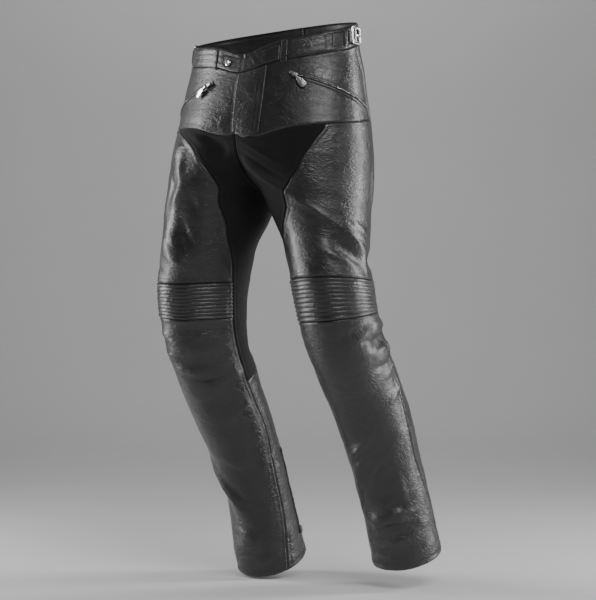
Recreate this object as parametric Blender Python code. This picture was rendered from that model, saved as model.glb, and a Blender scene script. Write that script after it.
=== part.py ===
"""Motorcycle trousers in leather with stretch gussets, hollow and posed as if worn.

Metres, +Z up, the wearer faces -Y and the wearer's left is +X. The origin is the
middle of the waist opening. Every panel is cut from one surface. A point of that
surface has a side (+1 left, -1 right), a drop (metres below the waist along the
leg) and a turn (degrees round the section: 0 inseam, 90 front, 180 outside, 270
back). Above the crotch each side is a half section that ends on the middle plane.
"""
import math

import bmesh
import bpy
import numpy as np
from mathutils import Matrix, Vector

# Thicknesses and gaps
LEATHER = 0.0020
STRETCH = 0.0018
BAND = 0.0028
SEAM = 0.0003
LIFT = 0.0006
# Levels, as drops
BAND_HEIGHT = 0.040
SEAT_DROP = 0.245
CROTCH_DROP = 0.306
CALF_DROP = 0.690
HEM_DROP = {1: 1.092, -1: 1.124}
# Knee ribs
RIBS = 10
RIB_HEIGHT = 0.0022

SECTIONS = np.array([
    # drop, spread, half_width, front, back, tilt, slope, twist
    (0.000, 0.000, 0.178, 0.107, 0.107, 17.5, 0.030, 0.0),
    (0.040, 0.000, 0.181, 0.112, 0.115, 17.0, 0.025, 0.0),
    (0.105, 0.004, 0.188, 0.121, 0.137, 13.0, 0.015, 0.0),
    (0.180, 0.022, 0.180, 0.127, 0.148, 8.0, 0.005, 0.0),
    (0.235, 0.054, 0.151, 0.124, 0.145, 4.0, 0.000, 0.0),
    (0.280, 0.086, 0.118, 0.118, 0.133, 1.0, 0.000, 0.0),
    (0.306, 0.102, 0.102, 0.112, 0.122, 0.0, 0.000, 0.0),
    (0.346, 0.112, 0.093, 0.105, 0.110, 0.0, 0.000, 15.0),
    (0.406, 0.124, 0.083, 0.097, 0.097, 0.0, 0.000, 27.0),
    (0.480, 0.139, 0.078, 0.097, 0.093, 0.0, 0.000, 27.0),
    (0.545, 0.148, 0.075, 0.093, 0.085, 0.0, 0.000, 27.0),
    (0.605, 0.151, 0.073, 0.088, 0.078, 0.0, 0.000, 25.0),
    (0.685, 0.152, 0.072, 0.080, 0.076, 0.0, 0.000, 21.0),
    (0.785, 0.153, 0.072, 0.076, 0.075, 0.0, 0.000, 12.0),
    (0.905, 0.155, 0.067, 0.071, 0.072, 0.0, 0.000, 3.0),
    (1.005, 0.157, 0.067, 0.071, 0.074, 0.0, 0.000, 0.0),
    (1.130, 0.159, 0.071, 0.075, 0.081, 0.0, 0.000, 0.0),
])

LEANS = np.array([
    # drop, right leg's lean back, left leg's lean back, in degrees
    (0.000, -3.0, -2.0),
    (0.110, -5.0, -3.0),
    (0.180, -6.0, -1.0),
    (0.250, -11.0, 2.0),
    (0.346, -6.0, -1.0),
    (0.426, 2.0, -5.0),
    (0.496, 10.0, 2.0),
    (0.556, 15.0, 18.0),
    (0.616, 22.0, 32.0),
    (0.686, 29.0, 37.0),
    (0.766, 34.0, 32.0),
    (0.846, 31.0, 25.0),
    (0.926, 25.0, 24.0),
    (1.006, 22.0, 21.0),
    (1.130, 23.0, 16.0),
])

SEAMS = np.array([
    # drop, gusset's back edge, middle, gusset's front edge, side seam, drift to the left
    (0.000, -106.0, 0.0, 141.0, 185.0, 0.0),
    (0.180, -98.0, 0.0, 140.0, 198.0, 3.0),
    (0.208, -90.0, 0.0, 128.0, 199.0, 6.0),
    (0.245, -80.0, 0.0, 111.0, 200.0, 9.0),
    (0.266, -80.0, 0.0, 102.0, 200.0, 11.0),
    (0.306, -86.0, 0.0, 75.0, 200.0, 15.0),
    (0.346, -92.0, -6.0, 49.0, 190.0, 15.0),
    (0.386, -90.0, -14.0, 21.0, 183.0, 11.0),
    (0.458, -80.0, -32.0, -7.0, 179.0, 3.0),
    (0.550, -72.0, -36.0, -15.0, 179.0, 0.0),
    (0.690, -64.0, -34.0, -14.0, 174.0, 0.0),
    (0.800, -62.0, -32.0, -8.0, 171.0, 0.0),
    (0.926, -60.0, -32.0, 8.0, 187.0, 0.0),
    (1.010, -60.0, -30.0, 12.0, 198.0, 0.0),
    (1.130, -66.0, -28.0, 30.0, 199.0, 0.0),
])

FOLDS = np.array([
    # side, drop, turn, heading, length, width, height, bend
    (-1, 0.232, 86, 33, 0.085, 0.016, -0.010, 0.0),
    (-1, 0.268, 62, 33, 0.070, 0.020, 0.006, 0.0),
    (-1, 0.262, 118, 52, 0.070, 0.018, 0.006, 0.0),
    (-1, 0.340, 84, 52, 0.080, 0.017, 0.006, 0.0),
    (-1, 0.372, 66, 50, 0.080, 0.015, -0.006, 0.0),
    (-1, 0.420, 74, 38, 0.080, 0.018, 0.006, 0.0),
    (-1, 0.590, 60, 12, 0.080, 0.014, 0.005, 0.0),
    (-1, 0.616, 50, 8, 0.080, 0.012, -0.005, 0.0),
    (-1, 0.664, 18, -8, 0.070, 0.014, 0.005, 0.0),
    (-1, 0.712, 34, -15, 0.060, 0.012, -0.004, 0.0),
    (-1, 0.920, 108, 58, 0.120, 0.013, 0.007, 0.0),
    (-1, 0.985, 128, 66, 0.110, 0.030, -0.010, 0.0),
    (-1, 1.040, 84, 6, 0.040, 0.014, 0.006, 0.0),
    (-1, 0.640, 262, 4, 0.090, 0.018, -0.008, 0.0),
    (-1, 0.700, 250, -6, 0.090, 0.018, 0.007, 0.0),
    (-1, 0.600, 232, 8, 0.080, 0.016, 0.007, 0.0),
    (1, 0.250, 62, -40, 0.060, 0.018, 0.005, 0.0),
    (1, 0.402, 138, -36, 0.070, 0.016, 0.006, 0.0),
    (1, 0.430, 126, -30, 0.080, 0.015, -0.007, 0.0),
    (1, 0.438, 186, 10, 0.055, 0.018, -0.008, 0.0),
    (1, 0.575, 170, -12, 0.060, 0.013, 0.006, 0.0),
    (1, 0.602, 168, -14, 0.060, 0.012, -0.006, 0.0),
    (1, 0.632, 172, -12, 0.070, 0.014, 0.005, 0.0),
    (1, 0.900, 112, 84, 0.070, 0.024, -0.009, 0.0),
    (1, 0.975, 104, 0, 0.060, 0.016, 0.008, -6.0),
    (1, 0.860, 70, 78, 0.090, 0.015, 0.006, 0.0),
    (1, 0.640, 262, 4, 0.090, 0.018, -0.008, 0.0),
    (1, 0.700, 250, -6, 0.090, 0.018, 0.007, 0.0),
    (1, 0.600, 236, 10, 0.080, 0.016, 0.007, 0.0),
])

ZIPS = np.array([
    # turn, drop of a pocket zip from its slider to its outer end, on the left
    (121.0, 0.070),
    (132.0, 0.083),
    (146.0, 0.101),
    (163.0, 0.122),
    (178.0, 0.140),
    (190.0, 0.157),
])
ZIP_SHIFT = {1: (0.0, 0.0), -1: (-12.0, 0.012)}
CALF_ZIP = np.array([
    # turn, drop of a calf zip from its top to its slider at the hem
    (-34.0, 0.880),
    (-33.0, 0.960),
    (-30.0, 1.020),
    (-24.0, 1.075),
])
COLOURS = {
    "leather": ((0.030, 0.030, 0.032), 0.42, 0.0),
    "stretch": ((0.020, 0.020, 0.021), 0.85, 0.0),
    "tape": ((0.012, 0.012, 0.013), 0.80, 0.0),
    "metal": ((0.62, 0.61, 0.59), 0.28, 1.0),
}


def ease(values):
    """Smooth step from 0 to 1."""
    values = np.clip(values, 0.0, 1.0)
    return values * values * (3.0 - 2.0 * values)


def blend_rows(at, keys, values):
    """Smooth curve through a table's rows that never overshoots them."""
    steps = np.diff(keys)
    rises = np.diff(values) / steps
    before, after = rises[:-1], rises[1:]
    slopes = np.concatenate([rises[:1], np.zeros(len(before)), rises[-1:]])
    same_way = before * after > 0.0
    slopes[1:-1][same_way] = (2.0 * before * after / (before + after + 1e-30))[same_way]
    at = np.clip(at, keys[0], keys[-1])
    row = np.clip(np.searchsorted(keys, at, side="right") - 1, 0, len(steps) - 1)
    part = (at - keys[row]) / steps[row]
    square, cube = part ** 2, part ** 3
    return ((2 * cube - 3 * square + 1) * values[row] + (cube - 2 * square + part) * steps[row] * slopes[row]
            + (3 * square - 2 * cube) * values[row + 1] + (cube - square) * steps[row] * slopes[row + 1])


def column(table, index, at):
    """One column of a table, smoothly, at the given keys."""
    return blend_rows(np.asarray(at, float), table[:, 0], table[:, index])


FINE_DROPS = np.linspace(-0.02, 1.16, 1200)


def leg_axis(leans):
    """Depth, height and lean of a leg's axis at the fine drops."""
    lean = np.radians(blend_rows(FINE_DROPS, LEANS[:, 0], leans))
    steps = np.diff(FINE_DROPS)
    middle = (lean[1:] + lean[:-1]) / 2.0
    depth = np.concatenate([[0.0], np.cumsum(np.sin(middle) * steps)])
    height = np.concatenate([[0.0], np.cumsum(-np.cos(middle) * steps)])
    return depth - np.interp(0.0, FINE_DROPS, depth), height - np.interp(0.0, FINE_DROPS, height), lean


AXES = {-1: leg_axis(LEANS[:, 1]), 0: leg_axis(LEANS[:, 1:].mean(axis=1)), 1: leg_axis(LEANS[:, 2])}


def smooth_surface(side, drop, turn):
    """Points of the trousers before any fold."""
    drop, turn = np.broadcast_arrays(np.asarray(drop, float), np.asarray(turn, float))
    spread, width, front, back, tilt, slope, twist = [column(SECTIONS, k, drop) for k in range(1, 8)]
    angle, twist = np.radians(turn), np.radians(twist)
    depth = np.where(np.sin(angle) > 0.0, front, back)
    across = spread - width * np.cos(angle) * np.cos(twist) + depth * np.sin(angle) * np.sin(twist)
    along = -width * np.cos(angle) * np.sin(twist) - depth * np.sin(angle) * np.cos(twist)
    own = np.maximum(ease(across / 0.09), ease((drop - 0.31) / 0.12))
    mid_y, mid_z, lean = [own * np.interp(drop, FINE_DROPS, mine) + (1.0 - own) * np.interp(drop, FINE_DROPS, shared)
                          for mine, shared in zip(AXES[side], AXES[0])]
    lean = lean + np.radians(tilt)
    return np.stack([side * across, mid_y + along * np.cos(lean),
                     mid_z + along * np.sin(lean) + slope * side * across], axis=-1)


def crossed(side, surface, drop, turn):
    """Outward normals of a surface function, by differences."""
    over_turn = surface(side, drop, turn + 0.8) - surface(side, drop, turn - 0.8)
    over_drop = surface(side, drop + 0.002, turn) - surface(side, drop - 0.002, turn)
    normal = -side * np.cross(over_turn, over_drop)
    return normal / np.maximum(np.linalg.norm(normal, axis=-1, keepdims=True), 1e-12)


def fold_height(side, drop, turn):
    """How far the folds push the cloth out, or in where negative."""
    girth = np.sqrt(column(SECTIONS, 2, drop) * column(SECTIONS, 3, drop))
    total = np.zeros(np.broadcast(drop, turn).shape)
    for own_side, mid_drop, mid_turn, heading, length, width, height, bend in FOLDS:
        if own_side != side:
            continue
        swing = (turn - mid_turn + 180.0) % 360.0 - 180.0
        over, down = -np.radians(swing) * girth, drop - mid_drop
        turned = math.radians(heading)
        along = over * math.cos(turned) + down * math.sin(turned)
        off = -over * math.sin(turned) + down * math.cos(turned) + bend * along ** 2
        total += height * np.exp(-(off / width) ** 2) * np.exp(-(along / (0.6 * length)) ** 4)
    return total


def folded_surface(side, drop, turn):
    """Points of the trousers' outer face, folds included."""
    drop, turn = np.broadcast_arrays(np.asarray(drop, float), np.asarray(turn, float))
    points = smooth_surface(side, drop, turn)
    calm = np.maximum(ease(np.abs(points[..., 0]) / 0.03), ease((drop - 0.34) / 0.04))
    height = (fold_height(side, drop, turn) * calm)[..., None]
    return points + crossed(side, smooth_surface, drop, turn) * height


def waist_edge(turn):
    """Drop of the waist's upper edge, which dips at the front."""
    return 0.020 * np.exp(-((turn - 90.0) / 16.0) ** 2)


def level(name, side, turn):
    """Drop of a named level line at each turn."""
    turn = np.asarray(turn, float) % 360.0
    if name == "waist":
        return waist_edge(turn)
    if name == "band":
        return waist_edge(turn) * 0.9 + BAND_HEIGHT
    if name == "yoke":
        return 0.179 + 0.022 * np.exp(-((turn - 90.0) / 20.0) ** 2)
    if name == "seat":
        return np.full(turn.shape, SEAT_DROP)
    if name == "crotch":
        return np.full(turn.shape, CROTCH_DROP)
    swing = np.abs((turn - 90.0 + 180.0) % 360.0 - 180.0)
    if name == "knee_top":
        return 0.475 + 0.006 * (swing / 100.0) ** 2
    if name == "knee_bottom":
        return 0.537 + 0.014 * (swing / 100.0) ** 2
    if name == "calf":
        return np.full(turn.shape, CALF_DROP)
    return np.full(turn.shape, HEM_DROP[side])


LEVELS = [
    # name, rows of cells down to the next level
    ("waist", 2),
    ("band", 5),
    ("yoke", 3),
    ("seat", 5),
    ("crotch", 7),
    ("knee_top", 2 * RIBS),
    ("knee_bottom", 6),
    ("calf", 16),
    ("hem", 0),
]
LEVEL_ROW = {}
for level_name, level_rows in LEVELS:
    LEVEL_ROW[level_name] = sum(rows for _, rows in LEVELS[:len(LEVEL_ROW)])
GROUPS = {"inner": 5, "front": 10, "rear": 6, "seat": 3}
GROUP_COLUMN = {name: sum(list(GROUPS.values())[:k]) for k, name in enumerate(GROUPS)}
LAST_COLUMN = sum(GROUPS.values())


def middle_turn(drop):
    """Turn at which the section starts: on the middle plane, or the inseam line below the crotch."""
    ratio = np.clip(column(SECTIONS, 1, drop) / column(SECTIONS, 2, drop), -1.0, 1.0)
    return np.where(drop < CROTCH_DROP, np.degrees(np.arccos(ratio)), column(SEAMS, 2, drop))


def column_turn(side, index, drop):
    """Turn of one grid column at each drop, spread evenly between the seams."""
    start = middle_turn(drop)
    end = np.where(drop < CROTCH_DROP, 360.0 - start, 360.0 + start)
    front_edge = column(SEAMS, 3, drop) + side * column(SEAMS, 5, drop)
    lines = [start, front_edge, column(SEAMS, 4, drop), 360.0 + column(SEAMS, 1, drop), end]
    counts = list(GROUPS.values())
    group = 0
    while index > counts[group]:
        index -= counts[group]
        group += 1
    part = index / counts[group]
    return lines[group] * (1.0 - part) + lines[group + 1] * part


def row_drop(side, row, turn):
    """Drop of one grid row at each turn, spread between the levels."""
    names = [name for name, _ in LEVELS]
    upper = max(k for k, name in enumerate(names[:-1]) if LEVEL_ROW[name] <= row)
    part = (row - LEVEL_ROW[names[upper]]) / LEVELS[upper][1]
    if names[upper] == "seat":
        near_middle = (1.0 + np.cos(np.radians(turn))) / 2.0
        part = part + near_middle * (1.0 - (1.0 - part) ** 2 - part)
    return level(names[upper], side, turn) * (1.0 - part) + level(names[upper + 1], side, turn) * part


def corner_places(side):
    """Turn and drop of every grid corner, where its column crosses its row."""
    row_count = LEVEL_ROW["hem"] + 1
    turns = np.tile(np.linspace(40.0, 320.0, LAST_COLUMN + 1), (row_count, 1))
    drops = np.zeros_like(turns)
    for _ in range(12):
        for row in range(row_count):
            drops[row] = row_drop(side, row, turns[row])
        for index in range(LAST_COLUMN + 1):
            turns[:, index] = column_turn(side, index, drops[:, index])
    return turns, drops


CORNERS = {side: corner_places(side) for side in (-1, 1)}


def new_object(name, mesh, slot):
    """Adds a mesh to the trousers' collection with its own material."""
    thing = bpy.data.objects.new(name, mesh)
    PARTS.objects.link(thing)
    colour, roughness, metallic = COLOURS[slot]
    material = bpy.data.materials.new(name + "_" + slot)
    material.use_nodes = True
    shader = material.node_tree.nodes["Principled BSDF"]
    shader.inputs["Base Color"].default_value = (*colour, 1.0)
    shader.inputs["Roughness"].default_value = roughness
    shader.inputs["Metallic"].default_value = metallic
    mesh.materials.append(material)
    return thing


def finish_mesh(name, shape, slot):
    """Turns a bmesh into a smooth-shaded object with its faces pointing out."""
    bmesh.ops.recalc_face_normals(shape, faces=shape.faces)
    mesh = bpy.data.meshes.new(name)
    shape.to_mesh(mesh)
    shape.free()
    mesh.shade_smooth()
    mesh.set_sharp_from_angle(angle=math.radians(50.0))
    return new_object(name, mesh, slot)


def wall_from_cells(name, cells, outer, inner, slot):
    """Closes a wall over cells of corner keys, with the same diagonals on both faces."""
    shape = bmesh.new()
    outside = {key: shape.verts.new(point) for key, point in outer.items()}
    inside = {key: shape.verts.new(point) for key, point in inner.items()}
    edge_uses = {}
    for a, b, c, d in cells:
        for face in ((a, b, c), (a, c, d)):
            shape.faces.new([outside[key] for key in face])
            shape.faces.new([inside[key] for key in reversed(face)])
        for edge in ((a, b), (b, c), (c, d), (d, a)):
            edge_uses.setdefault(frozenset(edge), []).append(edge)
    for uses in edge_uses.values():
        if len(uses) == 1:
            start, end = uses[0]
            shape.faces.new([outside[end], outside[start], inside[start], inside[end]])
    return finish_mesh(name, shape, slot)


def panel(name, side, blocks, wall, slot, ribbed=False):
    """A cut piece: grid blocks of the surface, drawn in by half a seam gap, as a wall."""
    crotch_row = LEVEL_ROW["crotch"]
    rib_rows = range(LEVEL_ROW["knee_top"], LEVEL_ROW["knee_bottom"] + 1)
    stride = 1 if ribbed else 4
    rows = [row for row in range(LEVEL_ROW["hem"] + 1)
            if row not in rib_rows or (row - rib_rows[0]) % stride == 0]
    present = set()
    for group, top, bottom in blocks:
        first = GROUP_COLUMN[group]
        for k, row in enumerate(rows[:-1]):
            if LEVEL_ROW[top] <= row < LEVEL_ROW[bottom]:
                present.update((index, k) for index in range(first, first + GROUPS[group]))

    def key_of(index, k):
        wrapped = index == LAST_COLUMN and rows[k] >= crotch_row
        return (0 if wrapped else index), k

    def filled(index, k, corner):
        if rows[corner] >= crotch_row:
            index %= LAST_COLUMN
        return (index, k) in present

    cells = [(key_of(index, k), key_of(index, k + 1), key_of(index + 1, k + 1), key_of(index + 1, k))
             for index, k in sorted(present)]
    keys = sorted({key for cell in cells for key in cell})
    columns, lines = np.array(keys).T
    grid_rows = np.array(rows)[lines]
    around = {way: np.array([filled(index + way[0], k + way[1], k) for index, k in keys], float)
              for way in ((0, -1), (0, 0), (-1, -1), (-1, 0))}
    eastward = np.sign(around[0, -1] + around[0, 0] - around[-1, -1] - around[-1, 0])
    downward = np.sign(around[-1, 0] + around[0, 0] - around[-1, -1] - around[0, -1])
    turn, drop = CORNERS[side][0][grid_rows, columns], CORNERS[side][1][grid_rows, columns]
    on_middle = np.isin(columns, (0, LAST_COLUMN)) & (grid_rows <= crotch_row)
    degree = np.linalg.norm(folded_surface(side, drop, turn + 1.0) - folded_surface(side, drop, turn), axis=-1)
    turn = turn + np.where(on_middle, 0.0, eastward * SEAM / 2.0 / degree)
    drop = drop + downward * SEAM / 2.0
    points = folded_surface(side, drop, turn)
    normals = crossed(side, folded_surface, drop, turn)
    points[on_middle, 0] = side * SEAM / 2.0
    normals[on_middle, 0] = side * np.minimum(0.0, side * normals[on_middle, 0])
    raised = ribbed * RIB_HEIGHT * ((grid_rows - rib_rows[0]) % 2)
    outer = dict(zip(keys, points + normals * np.reshape(raised, (-1, 1))))
    inner = dict(zip(keys, points - normals * wall))
    return wall_from_cells(name, cells, outer, inner, slot)


def skin(side, drop, turn):
    """Points of the outer face, where side may be an array too."""
    if np.ndim(side) == 0:
        return folded_surface(side, drop, turn)
    return np.where(side[..., None] > 0, folded_surface(1, drop, turn), folded_surface(-1, drop, turn))


def section_centre(side, drop):
    """Middle of the section at each drop, for telling out from in."""
    depth, height, _ = AXES[0]
    return np.stack([side * column(SECTIONS, 1, drop), np.interp(drop, FINE_DROPS, depth),
                     np.interp(drop, FINE_DROPS, height)], axis=-1)


def laid_piece(name, place, steps, low, wall, slot):
    """A piece that lies on a panel: place(u, v) gives side, drop and turn."""
    across, down = steps
    u, v = np.meshgrid(np.linspace(0.0, 1.0, across + 1), np.linspace(0.0, 1.0, down + 1), indexing="ij")
    points = skin(*place(u, v))
    over = skin(*place(u + 0.01, v)) - skin(*place(u - 0.01, v))
    under = skin(*place(u, v + 0.01)) - skin(*place(u, v - 0.01))
    normals = np.cross(over, under)
    normals /= np.linalg.norm(normals, axis=-1, keepdims=True)
    side, drop, _ = place(u, v)
    outward = points - section_centre(side, drop)
    normals *= np.sign((normals * outward).sum(axis=-1, keepdims=True))
    keys = [(i, j) for i in range(across + 1) for j in range(down + 1)]
    outer = {key: points[key] + normals[key] * (low + wall) for key in keys}
    inner = {key: points[key] + normals[key] * low for key in keys}
    cells = [((i, j), (i, j + 1), (i + 1, j + 1), (i + 1, j)) for i in range(across) for j in range(down)]
    return wall_from_cells(name, cells, outer, inner, slot)


def beside_front(around, drop):
    """Side, drop and turn of a place given by degrees from the centre front, plus to the left."""
    return np.where(around >= 0.0, 1, -1), drop, middle_turn(drop) + np.abs(around)


def band_patch(name, side, turns, heights, low, wall, slot, steps):
    """A strap or loop on the waistband, between two turns and two heights below its edge."""
    def place(u, v):
        turn = turns[0] + u * (turns[1] - turns[0])
        return side, waist_edge(turn) + heights[0] + v * (heights[1] - heights[0]), turn
    return laid_piece(name, place, steps, low, wall, slot)


def route_place(route, shift, part):
    """Turn and drop along a zip's route."""
    keys = np.linspace(0.0, 1.0, len(route))
    return tuple(blend_rows(part, keys, route[:, k]) + shift[k] for k in (0, 1))


def zip_tape(name, side, route, shift, width, low, wall, steps, slot="tape"):
    """A strip of even width along a zip's route."""
    girth = 0.0024

    def place(u, v):
        part = np.clip(u, 0.0, 1.0)
        ahead = route_place(route, shift, np.minimum(part + 0.02, 1.0))
        behind = route_place(route, shift, np.maximum(part - 0.02, 0.0))
        over, down = (ahead[0] - behind[0]) * girth, ahead[1] - behind[1]
        length = np.hypot(over, down)
        over, down = over / length, down / length
        turn, drop = route_place(route, shift, part)
        beyond, off = (u - part) * 0.1, (v - 0.5) * width
        return side, drop + down * beyond + over * off, turn + (over * beyond - down * off) / girth
    return laid_piece(name, place, steps, low, wall, slot)


def seat_matrix(side, drop, turn, heading, lift):
    """Frame on the surface: X along the heading (0 round to the outside, 90 down), Z outward."""
    point = Vector(folded_surface(side, drop, turn))
    out = Vector(crossed(side, folded_surface, np.array(float(drop)), np.array(float(turn))))
    down = Vector(folded_surface(side, drop + 0.01, turn)) - point
    down = (down - out * down.dot(out)).normalized()
    outside = down.cross(out) * side
    outside = -outside if (Vector(folded_surface(side, drop, turn + 3.0)) - point).dot(outside) < 0 else outside
    x_axis = (outside * math.cos(math.radians(heading)) + down * math.sin(math.radians(heading))).normalized()
    y_axis = out.cross(x_axis)
    frame = Matrix((x_axis, y_axis, out)).transposed().to_4x4()
    return Matrix.Translation(point + out * lift) @ frame


def block(size, middle, round_edge=0.0):
    """A box as a bmesh, with its edges rounded if asked."""
    shape = bmesh.new()
    bmesh.ops.create_cube(shape, size=1.0)
    bmesh.ops.scale(shape, vec=size, verts=shape.verts)
    if round_edge:
        bmesh.ops.bevel(shape, geom=shape.edges[:], offset=round_edge, segments=1, affect="EDGES")
    bmesh.ops.translate(shape, vec=middle, verts=shape.verts)
    return shape


def rod(radius, length, middle, direction, sides=12):
    """A capped cylinder as a bmesh, along X, Y or Z."""
    shape = bmesh.new()
    bmesh.ops.create_cone(shape, cap_ends=True, segments=sides, radius1=radius, radius2=radius, depth=length)
    turns = {"X": Matrix.Rotation(math.pi / 2, 3, "Y"), "Y": Matrix.Rotation(math.pi / 2, 3, "X"),
             "Z": Matrix.Identity(3)}
    bmesh.ops.rotate(shape, cent=(0, 0, 0), matrix=turns[direction], verts=shape.verts)
    bmesh.ops.translate(shape, vec=middle, verts=shape.verts)
    return shape


def joined(name, shapes, slot, operation="UNION"):
    """One object from several bmeshes: the first united with, or cut by, the rest."""
    meshes = []
    for k, shape in enumerate(shapes):
        bmesh.ops.recalc_face_normals(shape, faces=shape.faces)
        mesh = bpy.data.meshes.new(f"{name}_{k}")
        shape.to_mesh(mesh)
        shape.free()
        meshes.append(mesh)
    thing = new_object(name, meshes[0], slot)
    for k, mesh in enumerate(meshes[1:]):
        cutter = bpy.data.objects.new(f"{name}_cutter_{k}", mesh)
        CUTTERS.objects.link(cutter)
        cutter.hide_render = True
        cutter.display_type = "WIRE"
        cutter.parent = thing
        change = thing.modifiers.new(f"join_{k}", "BOOLEAN")
        change.operation = operation
        change.object = cutter
    return thing


def leather_panels(side, word):
    """The panels of one half, from the waistband to the hem."""
    panel(f"waistband_front_{word}", side, [("inner", "waist", "band"), ("front", "waist", "band")], BAND, "leather")
    panel(f"waistband_back_{word}", side, [("rear", "waist", "band"), ("seat", "waist", "band")], BAND, "leather")
    panel(f"front_yoke_{word}", side, [("inner", "band", "yoke"), ("front", "band", "yoke")], LEATHER, "leather")
    panel(f"front_thigh_{word}", side, [("front", "yoke", "knee_top")], LEATHER, "leather")
    panel(f"knee_ribs_{word}", side, [("front", "knee_top", "knee_bottom")], LEATHER, "leather", ribbed=True)
    panel(f"shin_{word}", side, [("front", "knee_bottom", "hem")], LEATHER, "leather")
    panel(f"gusset_{word}", side, [("inner", "yoke", "calf"), ("seat", "seat", "calf")], STRETCH, "stretch")
    panel(f"back_{word}", side, [("rear", "band", "hem"), ("seat", "band", "seat"), ("seat", "calf", "hem"),
                                 ("inner", "calf", "hem")], LEATHER, "leather")


def fly_placket():
    """The stitched fly piece beside the centre front, with its pointed lower end."""
    def place(u, v):
        around = -1.5 + 18.5 * u
        bottom = 0.206 - 0.015 * np.abs(u - 0.5) / 0.5
        top = level("band", 1, 90.0 + np.abs(around)) + 0.0015
        return beside_front(around, top + (bottom - top) * v)
    laid_piece("fly_placket", place, (6, 10), LIFT, 0.0018, "leather")


def waist_tab():
    """The band's overlapping tab with its rounded end, and the snap on it."""
    reach, start, half, middle = -17.5, 25.0, 0.0145, 0.024

    def place(u, v):
        around = start + (reach - start) * u
        near_end = np.clip((u - 0.84) / 0.16, 0.0, 1.0)
        tall = half * np.sqrt(np.maximum(0.12, 1.0 - near_end ** 2))
        return beside_front(around, waist_edge(90.0 + np.abs(around)) + middle + (2.0 * v - 1.0) * tall)
    laid_piece("waist_tab", place, (12, 4), LIFT, 0.0022, "leather")
    turn = 100.5
    frame = seat_matrix(-1, float(waist_edge(turn)) + middle, turn, 0.0, LIFT + 0.0022 + 0.0004)
    cap = rod(0.0066, 0.0016, (0, 0, 0.0008), "Z", 20)
    rim = rod(0.0044, 0.0014, (0, 0, 0.0018), "Z", 20)
    joined("snap_button", [cap, rim], "metal").matrix_world = frame


def belt_loops():
    """Five plain loops over the waistband."""
    for name, side, turn in (("front_left", 1, 118.0), ("front_right", -1, 113.0), ("back_left", 1, 232.0),
                             ("back_right", -1, 232.0)):
        band_patch(f"belt_loop_{name}", side, (turn - 2.2, turn + 2.2), (0.002, 0.046), LIFT, 0.0022, "leather", (2, 5))

    def place(u, v):
        around = 180.0 + (u - 0.5) * 7.0
        side = np.where(around <= 180.0, 1, -1)
        return side, 0.002 + 0.044 * v, 90.0 + np.where(side > 0, around, 360.0 - around)
    laid_piece("belt_loop_centre", place, (2, 5), LIFT, 0.0022, "leather")


def waist_adjuster(side, word):
    """The strap, keeper and buckle at one side of the waistband."""
    band_patch(f"adjuster_strap_{word}", side, (154.0, 208.0), (0.008, 0.032), LIFT, 0.0020, "leather", (12, 2))
    over_strap = LIFT + 0.0020 + 0.0005
    band_patch(f"strap_keeper_{word}", side, (166.0, 169.5), (0.005, 0.035), over_strap, 0.0014, "leather", (2, 4))
    frame = seat_matrix(side, 0.020, 181.0, 0.0, 0.0)
    ring = block((0.033, 0.035, 0.0032), (0.0, 0.0, 0.0046), 0.0008)
    hole = block((0.0245, 0.0265, 0.0100), (0.0, 0.0, 0.0046))
    joined(f"buckle_{word}", [ring, hole], "metal", "DIFFERENCE").matrix_world = frame


def pocket_zip(side, word):
    """A pocket zip: its welt, tape, slider and the pull tab that swings on the slider."""
    shift = ZIP_SHIFT[side]
    zip_tape(f"pocket_welt_{word}", side, ZIPS, shift, 0.0150, LIFT, 0.0014, (20, 2), "leather")
    zip_tape(f"pocket_zip_{word}", side, ZIPS, shift, 0.0050, LIFT + 0.0014 + 0.0005, 0.0012, (20, 1))
    turn, drop = (float(value) for value in route_place(ZIPS, shift, 0.07))
    slider_and_pull(side, word, drop, turn, {1: 30.0, -1: 30.0}[side], {1: 52.0, -1: 40.0}[side])


def slider_and_pull(side, word, drop, turn, heading, hang):
    """The slider along the zip, and its pull hinged between two lugs and hanging at its own heading."""
    top = LIFT + 0.0014 + 0.0005 + 0.0012 + 0.0004
    frame = seat_matrix(side, drop, turn, heading, top)
    slider = block((0.0150, 0.0084, 0.0026), (0.0, 0.0, 0.0013), 0.0006)
    swing = Matrix.Rotation(math.radians(heading - hang) * side, 4, "Z")
    lugs = []
    for lug_side in (-1, 1):
        lug = block((0.0034, 0.0014, 0.0044), (0.0046, lug_side * 0.0030, 0.0042))
        bmesh.ops.transform(lug, matrix=swing, verts=lug.verts)
        lugs.append(lug)
    joined(f"pocket_slider_{word}", [slider, *lugs], "metal").matrix_world = frame
    barrel = rod(0.0012, 0.0038, (0.0, 0.0, 0.0), "Y", 12)
    shank = block((0.0110, 0.0034, 0.0012), (0.0055, 0.0, 0.0))
    plate = block((0.0150, 0.0090, 0.0012), (0.0165, 0.0, 0.0))
    disc = rod(0.0066, 0.0012, (0.0240, 0.0, 0.0), "Z", 20)
    rivet = rod(0.0028, 0.0012, (0.0240, 0.0, 0.0010), "Z", 12)
    pull = joined(f"pocket_pull_{word}", [barrel, shank, plate, disc, rivet], "metal")
    lean_in = Matrix.Rotation(math.radians(9.0), 4, "Y")
    pull.matrix_world = frame @ swing @ Matrix.Translation((0.0046, 0.0, 0.0048)) @ lean_in


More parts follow.
